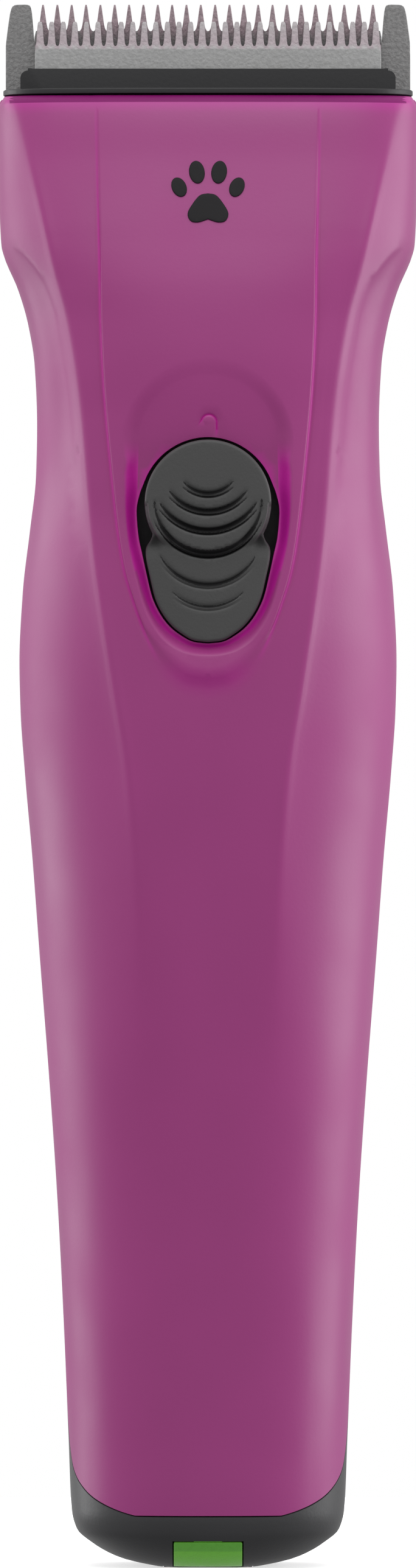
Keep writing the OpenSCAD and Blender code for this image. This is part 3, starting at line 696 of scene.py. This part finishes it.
def front_painted_shade(p):
    """Painted shade: a deeper magenta in the well's walls and the mark's groove, along the panel's foot and
    its downward-facing toe, and under the top lip, where shade and coloured bounce light fall.
    """
    z = p[:, 1]
    view = np.column_stack([roll(p[:, 0], z)[0], z])
    share = well_share(view)
    moat_room = np.where(inside(view, moat), 0, distance(view, moat))
    wall = smooth(0.05, 0.25, share) * (1 - smooth(0.25, 0.4, moat_room) * (share > 0.999))
    wall = wall * (1 - smooth(123.0, 127.0, z))
    low = 0.05 * (112 - z)
    wall = wall * np.where(z < 112, smooth(0.2 + low, 0.45 + low, share), 1)
    gap = panel_gap(view)
    foot = 0.8 * np.exp(-((gap - 0.06) / 0.15) ** 2) * smooth(101, 106, z) * (1 - 0.7 * smooth(146, 164, z))
    lip = 0.45 * smooth(HEAD_TOP - 2.4, HEAD_TOP - 0.8, z) * (np.abs(view[:, 0]) < 22.6)
    toe = 0.42 * np.exp(-((gap + 1.2) / 1.2) ** 2) * (1 - smooth(99.8, 103.0, z))
    return np.clip(np.max([wall, 0.9 * mark_line(view), foot, lip, toe], axis=0), 0, 1)


def front_inner(p):
    s, z = p[:, 0], p[:, 1]
    x, y, nx, ny = roll(s, z)
    px, py = x - nx * WALL, y - ny * WALL
    view = np.column_stack([x, z])
    near = inside(view, well) | (distance(view, well) < 2.2)
    return np.column_stack([px, np.where(near, np.maximum(py, FLOOR_Y + WALL), py), z])


def on_skin(curve):
    """A front view curve in the shell's unrolled plane."""
    curve = np.asarray(curve, float)
    return np.column_stack([unroll(curve[:, 0], curve[:, 1]), curve[:, 1]])


def both(curve):
    return [curve, curve * (-1, 1)]


def shell_outline():
    """The front shell's edge in the unrolled plane."""
    z = np.concatenate([np.linspace(6.1, 20, 200), np.linspace(20.2, HEAD_TOP, 300)])
    half, front, _, n = section(z)
    cx, cy = corner(z)
    y = pchip(PARTING[:, 0], PARTING[:, 1], z)
    flat = half * (1 - np.clip(np.abs(y) / front, 0, 1) ** n) ** (1 / n)
    s = np.where(y >= cy, cx + y - cy, flat)
    right = resample(np.column_stack([s, z]), 0.7)
    bottom = resample([(-s[0], 6.1), (s[0], 6.1)], 0.7)
    top = resample([(s[-1], HEAD_TOP), (-s[-1], HEAD_TOP)], 0.7)
    return np.vstack([bottom[:-1], right[:-1], top[:-1], (right[::-1] * (-1, 1))[:-1]])


def clipped(curve, low, high):
    return curve[(curve[:, 1] > low) & (curve[:, 1] < high)]


feature_lines = []
for d in (0, 0.35, -0.35, 0.7, -0.7, 1.1, -1.1, 2.0, -2.0):
    feature_lines += both(on_skin(clipped(offset(ridge, d, False), 50, LINES_TOP)))
for d in (0, 0.35, -0.35, 0.9):
    curve = clipped(offset(shoulder, d, False), 127, 148.9)
    ridge_x = np.interp(curve[:, 1], ridge[::-1, 1], ridge[::-1, 0])
    feature_lines += both(on_skin(curve[curve[:, 0] - ridge_x > 2.2]))
rim = rim_width(panel_half[:, 1])
for share in (-1.6, -1.1, -0.7, -0.35, 0, 0.25, 0.5, 0.75, 1.0, 1.35):
    t = np.gradient(panel_half, axis=0)
    t /= np.linalg.norm(t, axis=1, keepdims=True)
    curve = panel_half + np.column_stack([t[:, 1], -t[:, 0]]) * (rim * share)[:, None]
    curve[-1, 0] = 0
    loop = np.vstack([curve, (curve[:-1] * (-1, 1))[::-1]])
    feature_lines.append(clipped(loop, 90, LINES_TOP))
ring = resample(well, 0.4, True)
inward = floor[[nearest(p, floor) for p in ring]] - ring
for share in (0.0, 0.06, 0.14, 0.28, 0.45, 0.62, 0.8, 0.94, 1.0):
    loop = ring + inward * share
    feature_lines.append(np.vstack([loop, loop[:1]]))
for d in (0.0, 0.06):
    loop = offset(moat, d)
    feature_lines.append(np.vstack([loop, loop[:1]]))
for d in (-0.3, -0.15, 0, 0.15, 0.3):
    feature_lines.append(offset(mark, d, False))
for k in range(7):
    level = HEAD_TOP - 0.15 - 0.18 * k
    feature_lines.append(resample([(-21.5, level), (21.5, level)], 0.6))

front = mesh_object("case_front", *relief_parts(
    [shell_outline(), slot_hole], front_skin, front_inner, feature_lines, back_gap=3.0,
    tint=front_painted_shade))
sharpen(front, 50)
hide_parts("front_shell")
dress(front, "shell_plum", "housing")
front.data.materials.append(FINISHES["painted_shade_black"])
front.data.materials.append(FINISHES["shell_lip_painted_shade"])
for p in front.data.polygons:
    x, y, z = p.center / MM
    # Painted shade: the moat's faces round the button take the black finish for the shadowed gap.
    if abs(y - MOAT_Y) < 0.4 and abs(x) < 9 and 102 < z < 130:
        p.material_index = 1
    # Painted shade: the band just under the top lip takes the darker plum.
    elif z > HEAD_TOP - LIP_PAINTED_SHADE and abs(x) < 22.2 and y < 0:
        p.material_index = 2

# ---------------------------------------------------------------- back shell

def body_solid(inset, low, high):
    """The closed body between two heights, its wall moved in by inset."""
    z = np.unique(np.concatenate([np.linspace(low, min(high, 8), 22), np.arange(9, high, 1.6), [high]]))
    z = z[(z >= low) & (z <= high)]
    ang = np.linspace(0, 2 * math.pi, 128, endpoint=False)
    verts = []
    for level in z:
        half, front, back, n = (float(v) for v in section(np.array(level)))
        c, s = np.cos(ang), np.sin(ang)
        depth = np.where(s < 0, front, back)
        verts.append(np.column_stack([
            (half - inset) * np.sign(c) * np.abs(c) ** (2 / n),
            (depth - inset) * np.sign(s) * np.abs(s) ** (2 / n), np.full(128, level)]))
    faces = [tuple(range(128))[::-1], tuple(range(128 * (len(z) - 1), 128 * len(z)))]
    for r in range(len(z) - 1):
        faces += [(r * 128 + i, r * 128 + (i + 1) % 128, (r + 1) * 128 + (i + 1) % 128, (r + 1) * 128 + i)
                  for i in range(128)]
    v = np.vstack(verts)
    return v, faces, np.zeros(len(v))


def front_cutter():
    """The solid in front of the parting line, for cutting the back shell's edge."""
    z = np.concatenate([np.linspace(6.1, 20, 60), np.linspace(20.5, 60, 60), [170]])
    y = pchip(PARTING[:, 0], PARTING[:, 1], z)
    edge = offset(np.column_stack([y, z]), -PART_GAP, False)
    edge = np.vstack([[(edge[0, 0], 6.1 - PART_GAP)], edge[1:]])
    profile = np.vstack([[(-40, 6.1 - PART_GAP)], edge, [(-40, 170)]])
    count = len(profile)
    verts = np.vstack([np.column_stack([np.full(count, x), profile]) for x in (-40, 40)])
    faces = [tuple(range(count))[::-1], tuple(range(count, 2 * count))]
    faces += [(i, (i + 1) % count, count + (i + 1) % count, count + i) for i in range(count)]
    return verts, faces, np.zeros(len(verts))


# Each screw: x, height and where its boss starts, in front of the back wall.
SCREWS = [(side * x, z, start) for x, z, start in ((11, 24, 0.6), (14.4, 101.5, 2.9)) for side in (-1, 1)]
back = mesh_object("case_back", *body_solid(0, 0, BACK_TOP))
carve(back, body_solid(WALL, 2.0, BACK_TOP + 4))
carve(back, front_cutter())
for x, z, start in SCREWS:
    boss = mesh_object("boss", *cylinder_parts(3.4, start, 30, (x, z)))
    carve(boss, body_solid(0.3, 0.5, BACK_TOP), "INTERSECT")
    carve(back, boss, "UNION")
    carve(back, cylinder_parts(2.3, 8, 40, (x, z)))
    carve(back, cylinder_parts(1.22, -5, 30, (x, z), count=24))
carve(back, block_parts(-5.1, 5.1, -5.7, 6.7, -1, 5))
carve(back, block_parts(-4, 4, -20, -6.6, -1, 3.2))
carve(back, block_parts(-1.8, 1.8, -11, -9.1, 2, 9))
for p in back.data.polygons:
    p.use_smooth = True
sharpen(back, 30)
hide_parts("back_shell")
dress(back, "shell_dark", "housing")

# ---------------------------------------------------------------- switch button

TRAVEL = 4.0
button_outline = mirrored_outline((0, PAD_Z, 7.1, 90, -29, 56), [
    (6.28, 115.9), (6.5, 115.45), (6.86, 114.95), (7.0, 114.3), (6.9, 113.2), (6.6, 111.8),
    (6.05, 109.4), (5.5, 108), (4.8, 106.85), (3.95, 105.85), (3.0, 105.1), (1.7, 104.35),
    (0, 104.12)], 0.3, 0.25)
# Ribs on the button: radius, centre height, half chord, depth, width of the painted-shade dark line in its
# groove.
RIBS = [(3.75, 124.4, 2.8, 0.4, 0.2), (5.44, 124.1, 4.4, 0.5, 0.26), (6.45, 122.95, 5.5, 0.6, 0.32),
        (6.18, 120.1, 6.05, 0.7, 0.4)]
SCALES = [(6.18, 116.6, 5.4, 0.34, 0.2), (5.67, 113.6, 3.95, 0.22, 0.12)]


def rib_arc(r, cz, chord, grow):
    reach = math.degrees(math.asin(min(1, chord / r)))
    return arc(0, cz, r + grow, -90 - reach, -90 + reach, 40)


def notch_share(x, z):
    """1 beside the notch on each side, between the pad's edge and the tail, fading downwards."""
    rho = np.hypot(x, z - PAD_Z)
    ends = smooth(113.3, 116.0, z) * (1 - smooth(119.4, 119.9, z))
    return smooth(6.66, 6.92, rho) * smooth(4.6, 5.8, np.abs(x)) * ends


def button_face(p, drop):
    x, z = p[:, 0], p[:, 1]
    base = -19.55 + 0.0011 * ((z - PAD_Z) ** 2 + 1.5 * x * x) * 1.4
    # the tail lies lower than the pad, beyond the last rib
    r, cz, *_ = RIBS[-1]
    rho = np.hypot(x, z - cz) - r
    below = smooth(-0.2, 0.3, rho) * smooth(0.62, 0.86, (cz - z) / r)
    tail = -18.85 + 0.03 * np.maximum(0, 114 - z) + 0.012 * x * x
    y = base * (1 - below) + tail * below
    y = y + 0.5 * notch_share(x, z)
    for r, cz, chord, deep, _ in RIBS + SCALES:
        rho = np.hypot(x, z - cz) - r
        ends = np.clip(1 - (x / chord) ** 2, 0, 1) ** 0.6 * (z < cz)
        valley = np.exp(-((rho + 0.2) / 0.2) ** 2) + 0.55 * np.exp(-((rho - 0.3) / 0.11) ** 2)
        y = y + ends * (deep * valley - 0.1 * np.exp(-((rho - 0.06) / 0.1) ** 2))
    return np.column_stack([x, y + drop, z])


def rib_shade(x, z):
    """1 in the ribs' grooves, where painted shade darkens them."""
    dark = np.zeros(len(x))
    for k, (r, cz, chord, _, width) in enumerate(RIBS + SCALES):
        rho = np.hypot(x, z - cz) - r
        ends = np.clip(1 - (x / chord) ** 2, 0, 1) ** 0.5 * (z < cz)
        marks = [(-0.14, width, 1.0), (0.32, 0.13, 0.9)] if k < len(RIBS) else [(-0.14, width, 1.0)]
        for at, half, most in marks:
            line = np.exp(-((rho - at) / np.maximum(half * ends, 0.02)) ** 4) * (ends > 0.05)
            dark = np.maximum(dark, most * line)
    return dark


# Painted shade: near black along the ribs' grooves and in the notch beside the pad.
def button_painted_shade(p):
    x, z = p[:, 0], p[:, 1]
    return np.maximum(rib_shade(x, z), 0.85 * notch_share(x, z))


def button_under(p):
    """The underside clears the well's floor over the whole travel."""
    x, z = p[:, 0], p[:, 1]
    panel_y = front_y(np.zeros(len(z)), z + TRAVEL) - PANEL_LIFT
    floor_y = panel_y + floor_level(z + TRAVEL)
    return np.column_stack([x, np.minimum(floor_y - 0.2, -16.35), z])


lines = []
for r, cz, chord, *_ in RIBS + SCALES:
    for grow in (-0.55, -0.4, -0.28, -0.16, -0.05, 0.06, 0.18, 0.3, 0.42, 0.55):
        curve = rib_arc(r, cz, chord * 0.99, grow)
        lines.append(curve[inside(curve, offset(button_outline, 0.42))])
for r in (6.6, 6.68, 6.76, 6.84, 6.92, 7.0):
    for curve in both(arc(0, PAD_Z, r, 2, -46, 60)):
        lines.append(curve[inside(curve, offset(button_outline, 0.3))])
stem = block_parts(-1.7, 1.7, -17.2, -12.7, PAD_Z - 6, PAD_Z + 1.7)
button = joined("thumb_button", [
    relief_parts([button_outline], button_face, button_under, lines, gap=0.32, back_gap=0.8, round_=0.35,
                 tint=button_painted_shade), stem])
sharpen(button, 50)
middle = np.array([f.center for f in button.data.polygons]) / MM
groove = (rib_shade(middle[:, 0], middle[:, 2]) > 0.6) & (middle[:, 1] < -18)
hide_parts("switch_button")
dress(button, "button_grey", "thumb_switch")
button.data.materials.append(FINISHES["painted_shade_black"])
# Painted shade: faces deep in the ribs' grooves take the black finish.
button.data.polygons.foreach_set("material_index", groove.astype(np.int32))

# ---------------------------------------------------------------- blades

BLADE_SIDE = 19.7


def comb_outline(count, pitch, shape, valley):
    """The top edge of a toothed plate, from right to left: shape is half a tooth as
    (distance from its middle, height above the valley)."""
    points = []
    for k in range(count):
        mid = (count - 1) / 2 * pitch - k * pitch
        points += [(mid + dx, valley + dz) for dx, dz in shape]
        points += [(mid - dx, valley + dz) for dx, dz in reversed(shape)]
    return np.array([p for p in points if abs(p[0]) < BLADE_SIDE])


def plate(outline, y_front, y_back, round_, tint, lines, front_slope=None, back_slope=None):
    """A flat plate facing -Y, whose two faces may slope."""
    def face(p, drop):
        y = y_front + drop + (front_slope(p) if front_slope else 0)
        return np.column_stack([p[:, 0], y, p[:, 1]])

    def behind(p):
        y = np.full(len(p), y_back) + (back_slope(p) if back_slope else 0)
        return np.column_stack([p[:, 0], y, p[:, 1]])

    return relief_parts([ccw(outline)], face, behind, lines, gap=0.9, round_=round_, tint=tint)


def level_lines(heights, step):
    return [resample([(-19.4, z), (19.4, z)], step) for z in heights]


FIXED_LOW, FIXED_HIGH = box_mm("fixed_blade")
MOVING_LOW, MOVING_HIGH = box_mm("moving_blade")
NEEDLE = [(0.815, 0.0), (0.66, 0.08), (0.52, 0.32), (0.42, 0.75), (0.34, 1.3), (0.25, 2.0), (0.16, 2.65),
          (0.09, 3.0)]
NEEDLE_PITCH, NEEDLE_ROOT = 1.63, 173.7
needles = comb_outline(24, NEEDLE_PITCH, NEEDLE, NEEDLE_ROOT)
ear = spline([(19.75, 172.5), (19.9, 174.6), (20.08, 176.2), (20.35, 176.66), (21.2, 176.72),
              (22.1, 176.6), (22.45, 175.9), (22.72, 174.2), (22.95, 172.4)], 0.3)
fixed_side = resample([(23, 150.2), (22.98, 172.0)], 1.5)[:-1]
fixed_outline = np.vstack([
    resample([(-23, 150.2), (23, 150.2)], 1.5)[:-1], fixed_side, ear[::-1], [(19.72, 173.0)], needles,
    [(-19.72, 173.0)], ear * (-1, 1), resample([(-22.98, 172.0), (-23, 150.2)], 1.5)[:-1]])


def needle_slope(p):
    """The teeth thin towards their points, on the far side from the cutter."""
    x, z = p[:, 0], p[:, 1]
    return -1.35 * smooth(168, 176.75, z) * (np.abs(x) < 19.9) - 0.5 * smooth(172, 176.7, z)


# Painted light: the comb's teeth take a lighter colour, less of it close to the gaps between them.
def fixed_painted_light(p):
    x, z = p[:, 0], p[:, 1]
    mid = np.abs((x / NEEDLE_PITCH + 0.5) % 1 - 0.5) * NEEDLE_PITCH
    teeth = smooth(172.4, 173.6, z) * (np.abs(x) < 19.4)
    return np.clip(teeth * (0.35 + 0.65 * smooth(0.04, 0.2, mid)), 0, 1)


fixed = mesh_object("comb_blade", *plate(
    fixed_outline, FIXED_LOW[1], FIXED_HIGH[1], 0.09, fixed_painted_light, level_lines((172.4, 173.0), 0.4),
    back_slope=needle_slope))
sharpen(fixed, 40)
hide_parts("fixed_blade")
dress(fixed, "blade_steel", "blade_set")

CUT_TOOTH = [(0.56, 0.02), (0.46, 0.28), (0.41, 0.7), (0.36, 1.5), (0.3, 2.3), (0.25, 2.62), (0.16, 2.8)]
CUT_PITCH, GULLET = 1.315, MOVING_HIGH[2] - 2.8
cut_teeth = comb_outline(30, CUT_PITCH, CUT_TOOTH, GULLET)
cut_half = MOVING_HIGH[0]
moving_outline = np.vstack([
    resample([(-cut_half, MOVING_LOW[2]), (cut_half, MOVING_LOW[2])], 1.5)[:-1],
    resample([(cut_half, MOVING_LOW[2]), (cut_half, GULLET + 0.6)], 1.5), cut_teeth,
    resample([(-cut_half, GULLET + 0.6), (-cut_half, MOVING_LOW[2])], 1.5)[:-1]])
BEVEL_Z = 171.6


def cut_slope(p):
    return 0.85 * np.clip((p[:, 1] - BEVEL_Z) / (MOVING_HIGH[2] - BEVEL_Z), 0, 1)


# Painted shade and highlight: a duller colour on the bevelled slope, left off in round highlight spots at
# the gullets and thinning towards the points.
def cut_painted_shade(p):
    x, z = p[:, 0], p[:, 1]
    mid = np.abs((x / CUT_PITCH) % 1 - 0.5) * CUT_PITCH
    lobe = np.exp(-(mid / 0.3) ** 4) * np.exp(-((z - GULLET + 0.15) / 0.5) ** 4)
    fade = (1 - 0.9 * lobe) * (1 - 0.55 * smooth(172.8, 174.6, z))
    return np.clip(smooth(BEVEL_Z - 0.05, BEVEL_Z + 0.12, z) * fade, 0, 1)


moving = mesh_object("cutter_blade", *plate(
    moving_outline, MOVING_LOW[1], MOVING_HIGH[1], 0.07, cut_painted_shade,
    level_lines((BEVEL_Z - 0.05, BEVEL_Z, BEVEL_Z + 0.12), 0.35), front_slope=cut_slope))
sharpen(moving, 35)
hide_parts("moving_blade")
dress(moving, "cutter_steel", "cutter")

# ---------------------------------------------------------------- head and small parts

# The blade holder's top right corner: x, z, radius; and the depths that its cut spans.
HOLDER_CORNER = (21.25, 169.0, 0.85)
HOLDER_REACH = (1, 12)


def corner_cut(side, x, z, r):
    """The waste outside a rounded top corner, as a prism along Y."""
    curve = arc(x - r, z - r, r, 0, 90, 8)
    waste = np.vstack([curve, [(x - r, z + 1), (x + 1, z + 1), (x + 1, z - r)]])
    return prism_parts(ccw(waste * (side, 1)), *HOLDER_REACH)


holder_cuts = [corner_cut(side, *HOLDER_CORNER) for side in (-1, 1)]
for node, name, slot, body, width, cuts in (
        ("blade_carrier", "blade_holder", "frame_black", "blade_set", 0.25, holder_cuts),
        ("head_frame", "head_collar", "frame_black", "housing", 0.15, ()),
        ("length_lever", "length_slide", "lever_black", "lever", 0.3, ()),
        ("socket_plate", "base_socket_plate", "shell_dark", "housing", 0.2, ()),
        ("drive_yoke", "yoke", "plastic_natural", "cutter", 0.15, ()),
        ("cutter_carriage", "cutter_guide", "plastic_natural", "carriage", 0.12, ())):
    dress(softened(node, name, width, cuts=cuts), slot, body)

# paw badge: five pads a little proud of the sloping face
PAW_Z = 154.5


def pad_loop(cx, cz, rx, rz, turn):
    a = np.linspace(0, 2 * math.pi, 48, endpoint=False)
    c, s = math.cos(math.radians(turn)), math.sin(math.radians(turn))
    u, v = rx * np.cos(a), rz * np.sin(a)
    return np.column_stack([cx + u * c - v * s, cz + u * s + v * c])


def heel_loop():
    right = spline([(0, 0.95), (0.9, 0.75), (1.75, -0.25), (2.3, -1.35), (1.95, -2.2), (1.1, -2.35),
                    (0, -2.0)], 0.2)
    return resample(mirrored(right) + (0, PAW_Z - 0.9), 0.25, True)


def badge_face(p, drop):
    x, z = p[:, 0], p[:, 1]
    top = front_skin(np.column_stack([unroll(x, z), z]), np.zeros(len(x)))
    return np.column_stack([x, top[:, 1] - 0.16 + drop, z])


def badge_back(p):
    return badge_face(p, 0) + (0, 0.5, 0)


# Each toe pad: x, height, half width, half length, turn.
TOES = [(side * x, PAW_Z + z, rx, rz, side * turn) for side in (-1, 1)
        for x, z, rx, rz, turn in ((3.25, 0.75, 0.82, 1.15, -24), (1.25, 2.45, 0.88, 1.3, -8))]
badge = joined("paw_print", [
    relief_parts([loop], badge_face, badge_back, gap=0.4, back_gap=0.8, round_=0.12)
    for loop in [heel_loop()] + [pad_loop(*toe) for toe in TOES]])
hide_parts("paw_badge")
dress(badge, "badge_ink", "housing")

# charging light: a lens that follows the body's lower front edge
LENS_TOP = box_mm("led_lens")[1][2]


def lens_face(p, drop):
    x, z = p[:, 0], p[:, 1]
    return np.column_stack([x, front_y(x, z) - 0.02 + drop, z])


def lens_back(p):
    x, z = p[:, 0], p[:, 1]
    return np.column_stack([x, np.minimum(front_y(x, z + 0.4) + 2.6, -6.9), z])


lens_loop = resample([(-3.85, 0.14), (3.85, 0.14), (3.85, 3.05), (-3.85, 3.05)], 0.25, True)
lens_lines = [resample([(-3.7, z), (3.7, z)], 0.3) for z in (1.98, 2.04)]
lens = joined("charge_lens", [
    relief_parts([lens_loop], lens_face, lens_back, lens_lines, gap=0.3, back_gap=0.9, round_=0.12,
                 tint=lambda p: smooth(1.96, 2.06, p[:, 1])),
    block_parts(-1.6, 1.6, -10.8, -9.3, 2.6, LENS_TOP)])
sharpen(lens, 40)
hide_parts("led_lens")
dress(lens, "lens_green", "housing")

# ---------------------------------------------------------------- stage, light, camera

def studio_floor(radius, z):
    """A pale disc that the object stands on, unseen by bounced light."""
    turn = np.linspace(0, 2 * math.pi, 96, endpoint=False)
    rim = np.column_stack([radius * np.cos(turn), radius * np.sin(turn), np.full(96, z)])
    obj = mesh_object("studio_floor", rim, [tuple(range(96))])
    obj.data.materials.append(finish("studio_floor", (0.86, 0.86, 0.86, 1), 0.9, grain=12, bump=0.01,
                                     vary=0.01, specular=0.1, Emission_Color=(1, 1, 1, 1),
                                     Emission_Strength=0.62))
    obj.visible_diffuse = obj.visible_glossy = False


def studio_world(front, sides, top, back):
    """Pale all round to the eye; the light itself is dim in front and bright at the sides."""
    world = bpy.data.worlds.new("studio")
    bpy.context.scene.world = world
    world.use_nodes = True
    t = world.node_tree
    n, link = t.nodes, t.links
    lit, seen = n["Background"], n.new("ShaderNodeBackground")
    seen.inputs["Color"].default_value = lit.inputs["Color"].default_value = (1, 1, 1, 1)
    way, axes = n.new("ShaderNodeTexCoord"), n.new("ShaderNodeSeparateXYZ")
    link.new(way.outputs["Generated"], axes.inputs[0])

    def math_node(how, a, b):
        k = n.new("ShaderNodeMath")
        k.operation = how
        for socket, value in zip(k.inputs, (a, b)):
            feed(link, socket, value)
        return k.outputs[0]

    across_x = math_node("POWER", math_node("ABSOLUTE", axes.outputs[0], 0.0), 2.0)
    side = math_node("MULTIPLY", across_x, sides)
    up = math_node("MULTIPLY", axes.outputs[2], top)
    behind = math_node("MULTIPLY", math_node("MAXIMUM", axes.outputs[1], 0.0), back)
    total = math_node("ADD", math_node("ADD", side, up), math_node("ADD", behind, front))
    link.new(total, lit.inputs["Strength"])
    ray, choose = n.new("ShaderNodeLightPath"), n.new("ShaderNodeMixShader")
    link.new(ray.outputs["Is Camera Ray"], choose.inputs[0])
    link.new(lit.outputs[0], choose.inputs[1])
    link.new(seen.outputs[0], choose.inputs[2])
    link.new(choose.outputs[0], n["World Output"].inputs["Surface"])


def softbox(name, at, aim, size, watts):
    """A rectangular studio light at a point, aimed at another, both in metres."""
    light = bpy.data.lights.new(name, "AREA")
    light.shape, light.size, light.size_y = "RECTANGLE", size[0], size[1]
    light.energy = watts
    obj = bpy.data.objects.new(name, light)
    bpy.context.scene.collection.objects.link(obj)
    obj.location = at
    obj.rotation_euler = (Vector(aim) - Vector(at)).to_track_quat("-Z", "Y").to_euler()


CENTRE = (0, 0, 0.088)
studio_floor(200, -0.02)
studio_world(front=0.52, sides=0.06, top=0.34, back=0.05)
softbox("side_left", (-0.6, 0.22, 0.12), CENTRE, (0.5, 0.5), 1.7)
softbox("side_right", (0.6, 0.08, 0.12), CENTRE, (0.5, 0.5), 2.0)
softbox("key_top", (0.0, -0.5, 0.78), CENTRE, (0.8, 0.5), 1.8)

# The camera faces the switch side square on; the picture's height takes in the object and a hair more.
VIEW_TALL, VIEW_LOW, CAMERA_AWAY, SENSOR = 0.17717, -0.00035, 2.1, 36
optics = bpy.data.cameras.new("camera")
optics.sensor_width = SENSOR
optics.lens = SENSOR * CAMERA_AWAY / VIEW_TALL
camera = bpy.data.objects.new("camera", optics)
camera.location = (0.0, -CAMERA_AWAY, VIEW_LOW + VIEW_TALL / 2)
camera.rotation_euler = (math.radians(90), 0, 0)
bpy.context.scene.collection.objects.link(camera)
bpy.context.scene.camera = camera
bpy.context.scene.view_settings.view_transform = "Standard"
